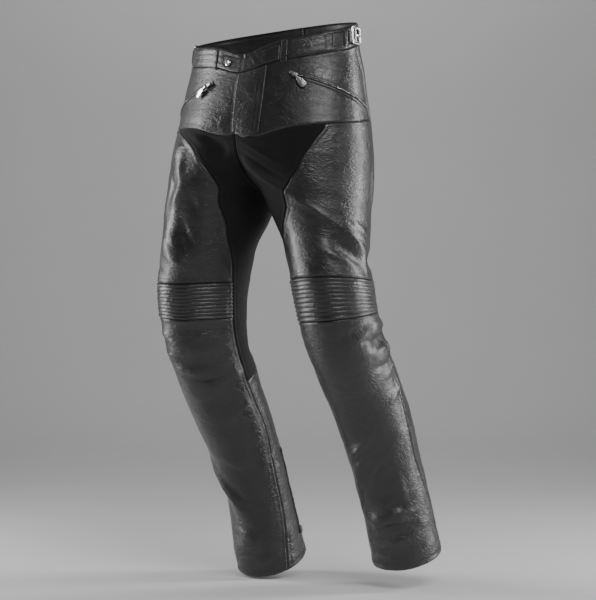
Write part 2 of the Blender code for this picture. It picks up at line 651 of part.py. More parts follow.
def calf_zip(side, word):
    """The zip at the back of the calf's inner side, closed, with its slider at the hem."""
    zip_tape(f"calf_welt_{word}", side, CALF_ZIP, (0.0, 0.0), 0.0160, LIFT, 0.0014, (10, 2), "leather")
    zip_tape(f"calf_zip_{word}", side, CALF_ZIP, (0.0, 0.0), 0.0050, LIFT + 0.0019, 0.0012, (10, 1))
    turn, drop = (float(value) for value in route_place(CALF_ZIP, (0.0, 0.0), 0.94))
    frame = seat_matrix(side, drop, turn, 78.0, LIFT + 0.0035)
    body = block((0.0150, 0.0084, 0.0026), (0.0, 0.0, 0.0013), 0.0006)
    bridge = block((0.0080, 0.0030, 0.0022), (0.0, 0.0, 0.0034))
    joined(f"calf_slider_{word}", [body, bridge], "metal").matrix_world = frame


def main():
    for word, side in (("left", 1), ("right", -1)):
        leather_panels(side, word)
        waist_adjuster(side, word)
        pocket_zip(side, word)
        calf_zip(side, word)
    fly_placket()
    waist_tab()
    belt_loops()


for old in list(bpy.data.objects):
    bpy.data.objects.remove(old, do_unlink=True)
PARTS = bpy.data.collections.new("motorcycle_trousers")
CUTTERS = bpy.data.collections.new("cutters")
bpy.context.scene.collection.children.link(PARTS)
bpy.context.scene.collection.children.link(CUTTERS)
main()
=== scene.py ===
import math

import bmesh
import bpy
import numpy as np
from mathutils import Matrix, Vector, kdtree, noise
from mathutils.bvhtree import BVHTree


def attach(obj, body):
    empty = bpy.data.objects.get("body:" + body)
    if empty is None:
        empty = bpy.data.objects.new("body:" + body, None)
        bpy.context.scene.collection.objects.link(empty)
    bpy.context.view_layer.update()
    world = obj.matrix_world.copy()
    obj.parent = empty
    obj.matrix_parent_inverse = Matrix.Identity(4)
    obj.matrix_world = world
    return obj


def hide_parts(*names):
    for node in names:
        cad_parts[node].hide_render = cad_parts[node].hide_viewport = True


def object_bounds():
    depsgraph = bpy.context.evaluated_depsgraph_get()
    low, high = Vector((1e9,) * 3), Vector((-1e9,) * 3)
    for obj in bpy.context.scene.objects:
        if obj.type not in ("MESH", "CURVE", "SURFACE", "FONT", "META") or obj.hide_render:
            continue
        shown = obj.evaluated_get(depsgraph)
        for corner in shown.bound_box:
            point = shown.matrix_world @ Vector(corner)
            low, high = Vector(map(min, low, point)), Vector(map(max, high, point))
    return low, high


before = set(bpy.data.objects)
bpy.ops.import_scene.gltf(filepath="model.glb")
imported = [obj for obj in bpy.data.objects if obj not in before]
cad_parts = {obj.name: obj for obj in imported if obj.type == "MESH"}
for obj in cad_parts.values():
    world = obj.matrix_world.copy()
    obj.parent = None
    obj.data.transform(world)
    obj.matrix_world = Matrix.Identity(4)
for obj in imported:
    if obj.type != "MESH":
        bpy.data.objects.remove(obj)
CAD_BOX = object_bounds()

# The trousers' surface: the same sizes and tables as the solids, in metres
# Gaps
SEAM = 0.0003
LIFT = 0.0006
# Levels, as drops
BAND_HEIGHT = 0.040
SEAT_DROP = 0.245
CROTCH_DROP = 0.306
CALF_DROP = 0.690
HEM_DROP = {1: 1.092, -1: 1.124}
# Knee ribs
RIBS = 10
RIB_HEIGHT = 0.0022

SECTIONS = np.array([
    # drop, spread, half_width, front, back, tilt, slope, twist
    (0.000, 0.000, 0.178, 0.107, 0.107, 17.5, 0.030, 0.0),
    (0.040, 0.000, 0.181, 0.112, 0.115, 17.0, 0.025, 0.0),
    (0.105, 0.004, 0.188, 0.121, 0.137, 13.0, 0.015, 0.0),
    (0.180, 0.022, 0.180, 0.127, 0.148, 8.0, 0.005, 0.0),
    (0.235, 0.054, 0.151, 0.124, 0.145, 4.0, 0.000, 0.0),
    (0.280, 0.086, 0.118, 0.118, 0.133, 1.0, 0.000, 0.0),
    (0.306, 0.102, 0.102, 0.112, 0.122, 0.0, 0.000, 0.0),
    (0.346, 0.112, 0.093, 0.105, 0.110, 0.0, 0.000, 15.0),
    (0.406, 0.124, 0.083, 0.097, 0.097, 0.0, 0.000, 27.0),
    (0.480, 0.139, 0.078, 0.097, 0.093, 0.0, 0.000, 27.0),
    (0.545, 0.148, 0.075, 0.093, 0.085, 0.0, 0.000, 27.0),
    (0.605, 0.151, 0.073, 0.088, 0.078, 0.0, 0.000, 25.0),
    (0.685, 0.152, 0.072, 0.080, 0.076, 0.0, 0.000, 21.0),
    (0.785, 0.153, 0.072, 0.076, 0.075, 0.0, 0.000, 12.0),
    (0.905, 0.155, 0.067, 0.071, 0.072, 0.0, 0.000, 3.0),
    (1.005, 0.157, 0.067, 0.071, 0.074, 0.0, 0.000, 0.0),
    (1.130, 0.159, 0.071, 0.075, 0.081, 0.0, 0.000, 0.0),
])

LEANS = np.array([
    # drop, right leg's lean back, left leg's lean back, in degrees
    (0.000, -3.0, -2.0),
    (0.110, -5.0, -3.0),
    (0.180, -6.0, -1.0),
    (0.250, -11.0, 2.0),
    (0.346, -6.0, -1.0),
    (0.426, 2.0, -5.0),
    (0.496, 10.0, 2.0),
    (0.556, 15.0, 18.0),
    (0.616, 22.0, 32.0),
    (0.686, 29.0, 37.0),
    (0.766, 34.0, 32.0),
    (0.846, 31.0, 25.0),
    (0.926, 25.0, 24.0),
    (1.006, 22.0, 21.0),
    (1.130, 23.0, 16.0),
])

SEAMS = np.array([
    # drop, gusset's back edge, middle, gusset's front edge, side seam, drift to the left
    (0.000, -106.0, 0.0, 141.0, 185.0, 0.0),
    (0.180, -98.0, 0.0, 140.0, 198.0, 3.0),
    (0.208, -90.0, 0.0, 128.0, 199.0, 6.0),
    (0.245, -80.0, 0.0, 111.0, 200.0, 9.0),
    (0.266, -80.0, 0.0, 102.0, 200.0, 11.0),
    (0.306, -86.0, 0.0, 75.0, 200.0, 15.0),
    (0.346, -92.0, -6.0, 49.0, 190.0, 15.0),
    (0.386, -90.0, -14.0, 21.0, 183.0, 11.0),
    (0.458, -80.0, -32.0, -7.0, 179.0, 3.0),
    (0.550, -72.0, -36.0, -15.0, 179.0, 0.0),
    (0.690, -64.0, -34.0, -14.0, 174.0, 0.0),
    (0.800, -62.0, -32.0, -8.0, 171.0, 0.0),
    (0.926, -60.0, -32.0, 8.0, 187.0, 0.0),
    (1.010, -60.0, -30.0, 12.0, 198.0, 0.0),
    (1.130, -66.0, -28.0, 30.0, 199.0, 0.0),
])

FOLDS = np.array([
    # side, drop, turn, heading, length, width, height, bend
    (-1, 0.232, 86, 33, 0.085, 0.016, -0.010, 0.0),
    (-1, 0.268, 62, 33, 0.070, 0.020, 0.006, 0.0),
    (-1, 0.262, 118, 52, 0.070, 0.018, 0.006, 0.0),
    (-1, 0.340, 84, 52, 0.080, 0.017, 0.006, 0.0),
    (-1, 0.372, 66, 50, 0.080, 0.015, -0.006, 0.0),
    (-1, 0.420, 74, 38, 0.080, 0.018, 0.006, 0.0),
    (-1, 0.590, 60, 12, 0.080, 0.014, 0.005, 0.0),
    (-1, 0.616, 50, 8, 0.080, 0.012, -0.005, 0.0),
    (-1, 0.664, 18, -8, 0.070, 0.014, 0.005, 0.0),
    (-1, 0.712, 34, -15, 0.060, 0.012, -0.004, 0.0),
    (-1, 0.920, 108, 58, 0.120, 0.013, 0.007, 0.0),
    (-1, 0.985, 128, 66, 0.110, 0.030, -0.010, 0.0),
    (-1, 1.040, 84, 6, 0.040, 0.014, 0.006, 0.0),
    (-1, 0.640, 262, 4, 0.090, 0.018, -0.008, 0.0),
    (-1, 0.700, 250, -6, 0.090, 0.018, 0.007, 0.0),
    (-1, 0.600, 232, 8, 0.080, 0.016, 0.007, 0.0),
    (1, 0.250, 62, -40, 0.060, 0.018, 0.005, 0.0),
    (1, 0.402, 138, -36, 0.070, 0.016, 0.006, 0.0),
    (1, 0.430, 126, -30, 0.080, 0.015, -0.007, 0.0),
    (1, 0.438, 186, 10, 0.055, 0.018, -0.008, 0.0),
    (1, 0.575, 170, -12, 0.060, 0.013, 0.006, 0.0),
    (1, 0.602, 168, -14, 0.060, 0.012, -0.006, 0.0),
    (1, 0.632, 172, -12, 0.070, 0.014, 0.005, 0.0),
    (1, 0.900, 112, 84, 0.070, 0.024, -0.009, 0.0),
    (1, 0.975, 104, 0, 0.060, 0.016, 0.008, -6.0),
    (1, 0.860, 70, 78, 0.090, 0.015, 0.006, 0.0),
    (1, 0.640, 262, 4, 0.090, 0.018, -0.008, 0.0),
    (1, 0.700, 250, -6, 0.090, 0.018, 0.007, 0.0),
    (1, 0.600, 236, 10, 0.080, 0.016, 0.007, 0.0),
])

ZIPS = np.array([
    # turn, drop of a pocket zip from its slider to its outer end, on the left
    (121.0, 0.070),
    (132.0, 0.083),
    (146.0, 0.101),
    (163.0, 0.122),
    (178.0, 0.140),
    (190.0, 0.157),
])
ZIP_SHIFT = {1: (0.0, 0.0), -1: (-12.0, 0.012)}
CALF_ZIP = np.array([
    # turn, drop of a calf zip from its top to its slider at the hem
    (-34.0, 0.880),
    (-33.0, 0.960),
    (-30.0, 1.020),
    (-24.0, 1.075),
])


def ease(values):
    """Smooth step from 0 to 1."""
    values = np.clip(values, 0.0, 1.0)
    return values * values * (3.0 - 2.0 * values)


def blend_rows(at, keys, values):
    """Smooth curve through a table's rows that never overshoots them."""
    steps = np.diff(keys)
    rises = np.diff(values) / steps
    before, after = rises[:-1], rises[1:]
    slopes = np.concatenate([rises[:1], np.zeros(len(before)), rises[-1:]])
    same_way = before * after > 0.0
    slopes[1:-1][same_way] = (2.0 * before * after / (before + after + 1e-30))[same_way]
    at = np.clip(at, keys[0], keys[-1])
    row = np.clip(np.searchsorted(keys, at, side="right") - 1, 0, len(steps) - 1)
    part = (at - keys[row]) / steps[row]
    square, cube = part ** 2, part ** 3
    return ((2 * cube - 3 * square + 1) * values[row] + (cube - 2 * square + part) * steps[row] * slopes[row]
            + (3 * square - 2 * cube) * values[row + 1] + (cube - square) * steps[row] * slopes[row + 1])


def column(table, index, at):
    """One column of a table, smoothly, at the given keys."""
    return blend_rows(np.asarray(at, float), table[:, 0], table[:, index])


FINE_DROPS = np.linspace(-0.02, 1.16, 1200)


def leg_axis(leans):
    """Depth, height and lean of a leg's axis at the fine drops."""
    lean = np.radians(blend_rows(FINE_DROPS, LEANS[:, 0], leans))
    steps = np.diff(FINE_DROPS)
    middle = (lean[1:] + lean[:-1]) / 2.0
    depth = np.concatenate([[0.0], np.cumsum(np.sin(middle) * steps)])
    height = np.concatenate([[0.0], np.cumsum(-np.cos(middle) * steps)])
    return depth - np.interp(0.0, FINE_DROPS, depth), height - np.interp(0.0, FINE_DROPS, height), lean


AXES = {-1: leg_axis(LEANS[:, 1]), 0: leg_axis(LEANS[:, 1:].mean(axis=1)), 1: leg_axis(LEANS[:, 2])}


def smooth_surface(side, drop, turn):
    """Points of the trousers before any fold."""
    drop, turn = np.broadcast_arrays(np.asarray(drop, float), np.asarray(turn, float))
    spread, width, front, back, tilt, slope, twist = [column(SECTIONS, k, drop) for k in range(1, 8)]
    angle, twist = np.radians(turn), np.radians(twist)
    depth = np.where(np.sin(angle) > 0.0, front, back)
    across = spread - width * np.cos(angle) * np.cos(twist) + depth * np.sin(angle) * np.sin(twist)
    along = -width * np.cos(angle) * np.sin(twist) - depth * np.sin(angle) * np.cos(twist)
    own = np.maximum(ease(across / 0.09), ease((drop - 0.31) / 0.12))
    mid_y, mid_z, lean = [own * np.interp(drop, FINE_DROPS, mine)
                          + (1.0 - own) * np.interp(drop, FINE_DROPS, shared)
                          for mine, shared in zip(AXES[side], AXES[0])]
    lean = lean + np.radians(tilt)
    return np.stack([side * across, mid_y + along * np.cos(lean),
                     mid_z + along * np.sin(lean) + slope * side * across], axis=-1)


def crossed(side, surface, drop, turn):
    """Outward normals of a surface function, by differences."""
    over_turn = surface(side, drop, turn + 0.8) - surface(side, drop, turn - 0.8)
    over_drop = surface(side, drop + 0.002, turn) - surface(side, drop - 0.002, turn)
    normal = -side * np.cross(over_turn, over_drop)
    return normal / np.maximum(np.linalg.norm(normal, axis=-1, keepdims=True), 1e-12)


def ridge_height(table, power, side, drop, turn):
    """How far a table's folds push the cloth out, or in where negative. They end abruptly at a high power."""
    girth = np.sqrt(column(SECTIONS, 2, drop) * column(SECTIONS, 3, drop))
    total = np.zeros(np.broadcast(drop, turn).shape)
    for own_side, mid_drop, mid_turn, heading, length, width, height, bend in table:
        if own_side != side:
            continue
        swing = (turn - mid_turn + 180.0) % 360.0 - 180.0
        over, down = -np.radians(swing) * girth, drop - mid_drop
        turned = math.radians(heading)
        along = over * math.cos(turned) + down * math.sin(turned)
        off = -over * math.sin(turned) + down * math.cos(turned) + bend * along ** 2
        total += height * np.exp(-(off / width) ** 2) * np.exp(-(along / (0.6 * length)) ** power)
    return total


def folded_surface(side, drop, turn):
    """Points of the trousers' outer face, folds included."""
    drop, turn = np.broadcast_arrays(np.asarray(drop, float), np.asarray(turn, float))
    points = smooth_surface(side, drop, turn)
    calm = np.maximum(ease(np.abs(points[..., 0]) / 0.03), ease((drop - 0.34) / 0.04))
    height = (ridge_height(FOLDS, 4, side, drop, turn) * calm)[..., None]
    return points + crossed(side, smooth_surface, drop, turn) * height


def waist_edge(turn):
    """Drop of the waist's upper edge, which dips at the front."""
    return 0.020 * np.exp(-((turn - 90.0) / 16.0) ** 2)


def level(name, side, turn):
    """Drop of a named level line at each turn."""
    turn = np.asarray(turn, float) % 360.0
    if name == "waist":
        return waist_edge(turn)
    if name == "band":
        return waist_edge(turn) * 0.9 + BAND_HEIGHT
    if name == "yoke":
        return 0.179 + 0.022 * np.exp(-((turn - 90.0) / 20.0) ** 2)
    if name == "seat":
        return np.full(turn.shape, SEAT_DROP)
    if name == "crotch":
        return np.full(turn.shape, CROTCH_DROP)
    swing = np.abs((turn - 90.0 + 180.0) % 360.0 - 180.0)
    if name == "knee_top":
        return 0.475 + 0.006 * (swing / 100.0) ** 2
    if name == "knee_bottom":
        return 0.537 + 0.014 * (swing / 100.0) ** 2
    if name == "calf":
        return np.full(turn.shape, CALF_DROP)
    return np.full(turn.shape, HEM_DROP[side])


LEVELS = [
    # name, rows of cells down to the next level
    ("waist", 2),
    ("band", 5),
    ("yoke", 3),
    ("seat", 5),
    ("crotch", 7),
    ("knee_top", 2 * RIBS),
    ("knee_bottom", 6),
    ("calf", 16),
    ("hem", 0),
]
LEVEL_ROW = {}
for level_name, level_rows in LEVELS:
    LEVEL_ROW[level_name] = sum(rows for _, rows in LEVELS[:len(LEVEL_ROW)])
GROUPS = {"inner": 5, "front": 10, "rear": 6, "seat": 3}
GROUP_COLUMN = {name: sum(list(GROUPS.values())[:k]) for k, name in enumerate(GROUPS)}
LAST_COLUMN = sum(GROUPS.values())


def middle_turn(drop):
    """Turn at which the section starts: on the middle plane, or the inseam line below the crotch."""
    ratio = np.clip(column(SECTIONS, 1, drop) / column(SECTIONS, 2, drop), -1.0, 1.0)
    return np.where(drop < CROTCH_DROP, np.degrees(np.arccos(ratio)), column(SEAMS, 2, drop))


def column_turn(side, index, drop):
    """Turn of one grid column at each drop, spread evenly between the seams."""
    start = middle_turn(drop)
    end = np.where(drop < CROTCH_DROP, 360.0 - start, 360.0 + start)
    front_edge = column(SEAMS, 3, drop) + side * column(SEAMS, 5, drop)
    lines = [start, front_edge, column(SEAMS, 4, drop), 360.0 + column(SEAMS, 1, drop), end]
    counts = list(GROUPS.values())
    group = 0
    while index > counts[group]:
        index -= counts[group]
        group += 1
    part = index / counts[group]
    return lines[group] * (1.0 - part) + lines[group + 1] * part


def row_drop(side, row, turn):
    """Drop of one grid row at each turn, spread between the levels."""
    names = [name for name, _ in LEVELS]
    upper = max(k for k, name in enumerate(names[:-1]) if LEVEL_ROW[name] <= row)
    part = (row - LEVEL_ROW[names[upper]]) / LEVELS[upper][1]
    if names[upper] == "seat":
        near_middle = (1.0 + np.cos(np.radians(turn))) / 2.0
        part = part + near_middle * (1.0 - (1.0 - part) ** 2 - part)
    return level(names[upper], side, turn) * (1.0 - part) + level(names[upper + 1], side, turn) * part


# Finer cloth than the solids have: parts of a cell, lines to a half rib and the parts of a cell beside a seam
FINE = 7
RIB_STEPS = 4
NEAR_SEAM = (0.04, 0.09, 0.16, 0.26, 0.38, 0.52, 0.68, 0.84)
CREASES = np.array([
    # side, drop, turn, heading, length, width, height, bend
    (-1, 0.205, 104, 24, 0.050, 0.006, -0.0030, 0.0),
    (-1, 0.226, 100, 30, 0.060, 0.006, 0.0025, 2.0),
    (-1, 0.300, 102, 62, 0.075, 0.008, 0.0030, 0.0),
    (-1, 0.318, 112, 58, 0.055, 0.006, -0.0025, 0.0),
    (-1, 0.350, 60, 40, 0.055, 0.007, -0.0028, 0.0),
    (-1, 0.388, 52, 44, 0.060, 0.007, 0.0026, 0.0),
    (-1, 0.405, 84, 30, 0.050, 0.006, -0.0024, 0.0),
    (-1, 0.440, 60, 20, 0.070, 0.008, 0.0030, 0.0),
    (-1, 0.455, 96, 14, 0.050, 0.006, -0.0026, 0.0),
    (-1, 0.560, 30, 8, 0.055, 0.006, -0.0030, 0.0),
    (-1, 0.566, 96, -6, 0.050, 0.006, 0.0026, 0.0),
    (-1, 0.584, 84, 12, 0.060, 0.006, -0.0032, 0.0),
    (-1, 0.604, 92, 6, 0.045, 0.005, 0.0024, 0.0),
    (-1, 0.632, 66, 14, 0.060, 0.006, 0.0028, 0.0),
    (-1, 0.650, 44, 4, 0.055, 0.006, -0.0030, 0.0),
    (-1, 0.686, 52, -12, 0.050, 0.006, 0.0024, 0.0),
    (-1, 0.738, 22, -18, 0.045, 0.006, 0.0024, 0.0),
    (-1, 0.776, 28, -24, 0.050, 0.007, -0.0026, 0.0),
    (-1, 0.816, 16, -28, 0.050, 0.006, 0.0024, 0.0),
    (-1, 0.860, 60, 40, 0.060, 0.008, 0.0026, 0.0),
    (-1, 0.930, 84, 56, 0.070, 0.007, -0.0034, 0.0),
    (-1, 0.958, 70, 48, 0.060, 0.006, 0.0028, 0.0),
    (-1, 1.000, 96, 30, 0.050, 0.006, -0.0030, 0.0),
    (-1, 1.024, 100, 12, 0.050, 0.006, 0.0030, 0.0),
    (-1, 1.056, 104, -8, 0.055, 0.007, 0.0034, 2.0),
    (-1, 1.074, 84, -6, 0.050, 0.006, -0.0028, 0.0),
    (-1, 1.092, 66, -14, 0.050, 0.006, 0.0026, 0.0),
    (1, 0.232, 92, -34, 0.050, 0.006, 0.0026, 0.0),
    (1, 0.262, 84, -44, 0.055, 0.006, -0.0028, 0.0),
    (1, 0.300, 78, -40, 0.060, 0.007, 0.0024, 0.0),
    (1, 0.352, 100, -48, 0.060, 0.007, 0.0026, 0.0),
    (1, 0.384, 152, -30, 0.055, 0.006, 0.0028, 0.0),
    (1, 0.412, 150, -34, 0.060, 0.006, -0.0034, 0.0),
    (1, 0.444, 112, -22, 0.060, 0.006, 0.0028, 0.0),
    (1, 0.560, 120, 4, 0.055, 0.006, -0.0028, 0.0),
    (1, 0.560, 150, -8, 0.045, 0.005, 0.0026, 0.0),
    (1, 0.588, 146, -16, 0.055, 0.006, -0.0034, 0.0),
    (1, 0.616, 154, -10, 0.055, 0.005, 0.0028, 0.0),
    (1, 0.646, 150, -20, 0.050, 0.006, -0.0026, 0.0),
    (1, 0.672, 166, -6, 0.045, 0.006, 0.0022, 0.0),
    (1, 0.720, 160, 12, 0.050, 0.007, 0.0020, 0.0),
    (1, 0.806, 84, 44, 0.070, 0.008, 0.0034, 3.0),
    (1, 0.836, 76, 50, 0.060, 0.006, -0.0032, 3.0),
    (1, 0.872, 96, 62, 0.060, 0.007, 0.0030, 0.0),
    (1, 0.912, 138, 96, 0.070, 0.008, 0.0034, 0.0),
    (1, 0.930, 60, 70, 0.060, 0.006, -0.0030, 0.0),
    (1, 0.952, 120, 20, 0.055, 0.006, -0.0036, -5.0),
    (1, 0.966, 132, -14, 0.050, 0.006, 0.0032, 0.0),
    (1, 0.992, 122, -8, 0.055, 0.006, -0.0034, -5.0),
    (1, 1.008, 96, 6, 0.050, 0.006, 0.0028, 0.0),
    (1, 1.030, 112, 14, 0.060, 0.007, 0.0030, 0.0),
    (1, 1.052, 140, 4, 0.050, 0.006, -0.0026, 0.0),
    (1, 1.066, 88, -8, 0.050, 0.006, 0.0026, 0.0),
])


def split_cells(first, last, borders):
    """Grid lines between two of the solids' lines, closer together beside the borders."""
    lines = []
    for cell in range(first, last):
        parts = [k / FINE for k in range(FINE)]
        if cell in borders:
            parts = [0.0, *NEAR_SEAM]
        elif cell + 1 in borders:
            parts = [0.0, *(1.0 - part for part in reversed(NEAR_SEAM))]
        lines.extend(cell + part for part in parts)
    return lines + [float(last)]


RIB_TOP, RIB_BOTTOM = LEVEL_ROW["knee_top"], LEVEL_ROW["knee_bottom"]
UPPER_SEAMS = [LEVEL_ROW[name] for name in ("waist", "band", "yoke", "seat", "knee_top")]
LOWER_SEAMS = [LEVEL_ROW[name] for name in ("knee_bottom", "calf", "hem")]
ROW_LINES = np.array(split_cells(0, RIB_TOP, UPPER_SEAMS)[:-1]
                     + [RIB_TOP + k / RIB_STEPS for k in range(2 * RIBS * RIB_STEPS)]
                     + split_cells(RIB_BOTTOM, LEVEL_ROW["hem"], LOWER_SEAMS))
COLUMN_LINES = np.array(split_cells(0, LAST_COLUMN, [*GROUP_COLUMN.values(), LAST_COLUMN]))


def fine_places(side):
    """Turn and drop of every fine grid corner."""
    turns = np.tile(40.0 + 280.0 * COLUMN_LINES / LAST_COLUMN, (len(ROW_LINES), 1))
    drops = np.zeros_like(turns)
    for _ in range(12):
        for k, row in enumerate(ROW_LINES):
            drops[k] = row_drop(side, row, turns[k])
        for k, index in enumerate(COLUMN_LINES):
            turns[:, k] = column_turn(side, index, drops[:, k])
    return turns, drops


PLACES = {side: fine_places(side) for side in (-1, 1)}


# How crumpled the leather is down the leg
CRUMPLE = np.array([
    # drop, share
    (0.00, 0.15),
    (0.06, 0.35),
    (0.12, 0.45),
    (0.20, 0.80),
    (0.34, 0.75),
    (0.44, 0.90),
    (0.60, 1.20),
    (0.72, 0.85),
    (0.84, 0.80),
    (0.96, 1.25),
    (1.13, 1.10),
])


# Heights of the broad swells, the soft wrinkles and the sharp ones, and the stretch cloth's share of them
BROAD, SOFT, SHARP = 0.0017, 0.0008, 0.00032
STRETCH_SHARE = 0.55


def crumple(side, drop, turn, cloth):
    """Uneven wrinkles of soft leather, or the calmer ones of stretch cloth."""
    round_leg = 0.085
    angle = np.radians(turn)
    places = np.stack([round_leg * np.cos(angle) + 0.7 * side, round_leg * np.sin(angle), drop * 1.5], axis=-1)
    heights = np.empty(len(places))
    for k, place in enumerate(places):
        point = Vector(place)
        point.z += noise.noise(point * 9.0) * 0.035
        broad = noise.noise(point * 17.0)
        soft = 1.0 - 2.2 * abs(noise.noise(point * 34.0))
        sharp = 1.0 - 2.6 * abs(noise.noise(point * 71.0))
        patch = 0.5 + 0.9 * noise.noise(point * 11.0 + Vector((3.0, 8.0, 1.0)))
        heights[k] = BROAD * broad + SOFT * soft * patch + SHARP * sharp * patch
    return heights * column(CRUMPLE, 1, drop) * (1.0 if cloth == "leather" else STRETCH_SHARE)


def rib_height(drop, turn, side, rows):
    """Rounded ribs with narrow grooves, as uneven as stitched ones."""
    rib = (rows - RIB_TOP) / 2.0
    wave = np.abs(np.sin(np.pi * rib)) ** 0.55
    uneven = 1.0 + 0.14 * np.sin(rib.astype(int) * 2.4 + turn * 0.045 + side)
    return RIB_HEIGHT * wave * uneven


def band_channels(side, drop, turn):
    """Padded channels across the front of the waistband."""
    below = drop - waist_edge(turn)
    mid, half = {1: (133.0, 17.0), -1: (130.0, 26.0)}[side]
    inside = ease((half - np.abs(turn - mid)) / 4.0)
    shape = np.abs(np.sin(np.pi * np.clip((below - 0.004) / 0.0105, 0.0, 3.0))) ** 0.7
    return 0.0016 * shape * inside


SHELLS = {}
SHELL_WALL = 0.0014
SEAM_RELIEF = [
    # distance from the seam, width, height: the groove, the turned allowance and the dip of its stitches
    (0.0, 0.0013, -0.0011),
    (0.0046, 0.0022, 0.0006),
    (0.0090, 0.0018, -0.0005),
]


def linked(name, mesh):
    """An object of the scene for a mesh, a light or a camera."""
    thing = bpy.data.objects.new(name, mesh)
    bpy.context.scene.collection.objects.link(thing)
    return thing


def store_values(mesh, total, raised, beside):
    """Stores what the materials read at each point: its face, its relief and how near a seam it lies."""
    for label, values in (("inside", np.repeat([0.0, 1.0], total)), ("raised", raised),
                          ("beside_seam", np.tile(beside, 2))):
        mesh.attributes.new(label, "FLOAT", "POINT").data.foreach_set("value", values)


def seam_relief(points, edge_points):
    """Groove at a seam, the turned allowance beside it and the dip of its stitches."""
    tree = kdtree.KDTree(len(edge_points))
    for k, place in enumerate(edge_points):
        tree.insert(place, k)
    tree.balance()
    away = np.array([tree.find(place)[2] for place in points])
    return sum(height * np.exp(-((away - middle) / width) ** 2) for middle, width, height in SEAM_RELIEF), away


def shell(name, side, blocks, cloth, ribbed=False):
    """One cut piece as a thin wall: the solid's form with its creases, ribs and seams."""
    crotch_row = LEVEL_ROW["crotch"]
    in_ribs = (ROW_LINES > RIB_TOP) & (ROW_LINES < RIB_BOTTOM)
    whole = np.abs(ROW_LINES - np.round(ROW_LINES)) < 1e-6
    kept = np.flatnonzero(~in_ribs | whole | ribbed)
    lines = ROW_LINES[kept]
    present = np.zeros((len(lines) - 1, len(COLUMN_LINES) - 1), bool)
    for group, top, bottom in blocks:
        rows_in = (lines[:-1] >= LEVEL_ROW[top] - 1e-6) & (lines[:-1] < LEVEL_ROW[bottom] - 1e-6)
        first = GROUP_COLUMN[group]
        columns_in = (COLUMN_LINES[:-1] >= first - 1e-6) & (COLUMN_LINES[:-1] < first + GROUPS[group] - 1e-6)
        present |= rows_in[:, None] & columns_in[None, :]
    wraps = lines >= crotch_row - 1e-6
    around = np.zeros((len(lines) + 1, len(COLUMN_LINES) + 1), bool)
    around[1:-1, 1:-1] = present
    west, east = np.zeros(len(lines) + 1, bool), np.zeros(len(lines) + 1, bool)
    closed = np.zeros(len(lines) + 1, bool)
    closed[1:-1] = wraps[:-1]
    west[closed] = around[closed, -2]
    east[closed] = around[closed, 1]
    around[:, 0], around[:, -1] = west, east
    nw, ne = around[:-1, :-1].astype(int), around[:-1, 1:].astype(int)
    sw, se = around[1:, :-1].astype(int), around[1:, 1:].astype(int)
    used = (nw + ne + sw + se) > 0
    eastward, downward = np.sign(ne + se - nw - sw), np.sign(sw + se - nw - ne)
    count = used.size
    number = np.arange(count).reshape(used.shape)
    number[wraps, -1] = number[wraps, 0]
    quads = np.stack([number[:-1, :-1], number[1:, :-1], number[1:, 1:], number[:-1, 1:]], axis=-1)[present]
    ids, quads = np.unique(quads, return_inverse=True)
    quads = quads.reshape(-1, 4)
    grid_row, grid_column = ids // used.shape[1], ids % used.shape[1]
    turn, drop = PLACES[side][0][kept][grid_row, grid_column], PLACES[side][1][kept][grid_row, grid_column]
    rows = lines[grid_row]
    middle = np.isin(COLUMN_LINES[grid_column], (0.0, float(LAST_COLUMN))) & (rows <= crotch_row + 1e-6)
    degree = np.linalg.norm(folded_surface(side, drop, turn + 1.0) - folded_surface(side, drop, turn), axis=-1)
    turn = turn + np.where(middle, 0.0, eastward[grid_row, grid_column] * SEAM / 2.0 / degree)
    drop = drop + downward[grid_row, grid_column] * SEAM / 2.0
    points = folded_surface(side, drop, turn)
    normals = crossed(side, folded_surface, drop, turn)
    normals[middle, 0] = side * np.minimum(0.0, side * normals[middle, 0])
    calm = np.maximum(ease(np.abs(points[:, 0]) / 0.02), ease((drop - 0.34) / 0.04))
    height = (ridge_height(CREASES, 2, side, drop, turn) + crumple(side, drop, turn, cloth)) * calm
    if ribbed:
        height = height * 0.35 + rib_height(drop, turn, side, rows)
    if name.startswith("waistband_front"):
        height = height + band_channels(side, drop, turn)
    uses = {}
    for a, b, c, d in quads.tolist():
        for edge in ((a, b), (b, c), (c, d), (d, a)):
            uses.setdefault(frozenset(edge), []).append(edge)
    rim = [found[0] for found in uses.values() if len(found) == 1]
    rim_ids = sorted({end for edge in rim for end in edge})
    relief, away = seam_relief(points, points[rim_ids])
    height = height + relief
    outer = points + normals * height[:, None]
    outer[middle, 0] = side * SEAM / 2.0
    inner = points + normals * (height - np.where(ribbed, RIB_HEIGHT * 0.5, 0.0) - SHELL_WALL)[:, None]
    inner[middle, 0] = side * SEAM / 2.0
    total = len(outer)
    if side < 0:
        faces = quads.tolist()
    else:
        faces = quads[:, ::-1].tolist()
    faces = faces + [[total + k for k in reversed(face)] for face in faces]
    faces += [[b, a, total + a, total + b] if side < 0 else [a, b, total + b, total + a] for a, b in rim]
    mesh = bpy.data.meshes.new(name + "_shell")
    mesh.from_pydata(np.concatenate([outer, inner]).tolist(), [], faces)
    mesh.shade_smooth()
    store_values(mesh, total, np.tile(np.clip(height / 0.003, -1.0, 1.0), 2), np.exp(-away / 0.006))
    SHELLS[name] = (outer, faces[:len(quads)])
    return linked(name + "_shell", mesh)


# What lies on the shells
def cover_tree():
    """A tree of every outer face made so far, for laying pieces on them."""
    places, faces, start = [], [], 0
    for outer, quads in SHELLS.values():
        places.append(outer)
        faces.extend([k + start for k in face] for face in quads)
        start += len(outer)
    return BVHTree.FromPolygons(np.concatenate(places).tolist(), faces)


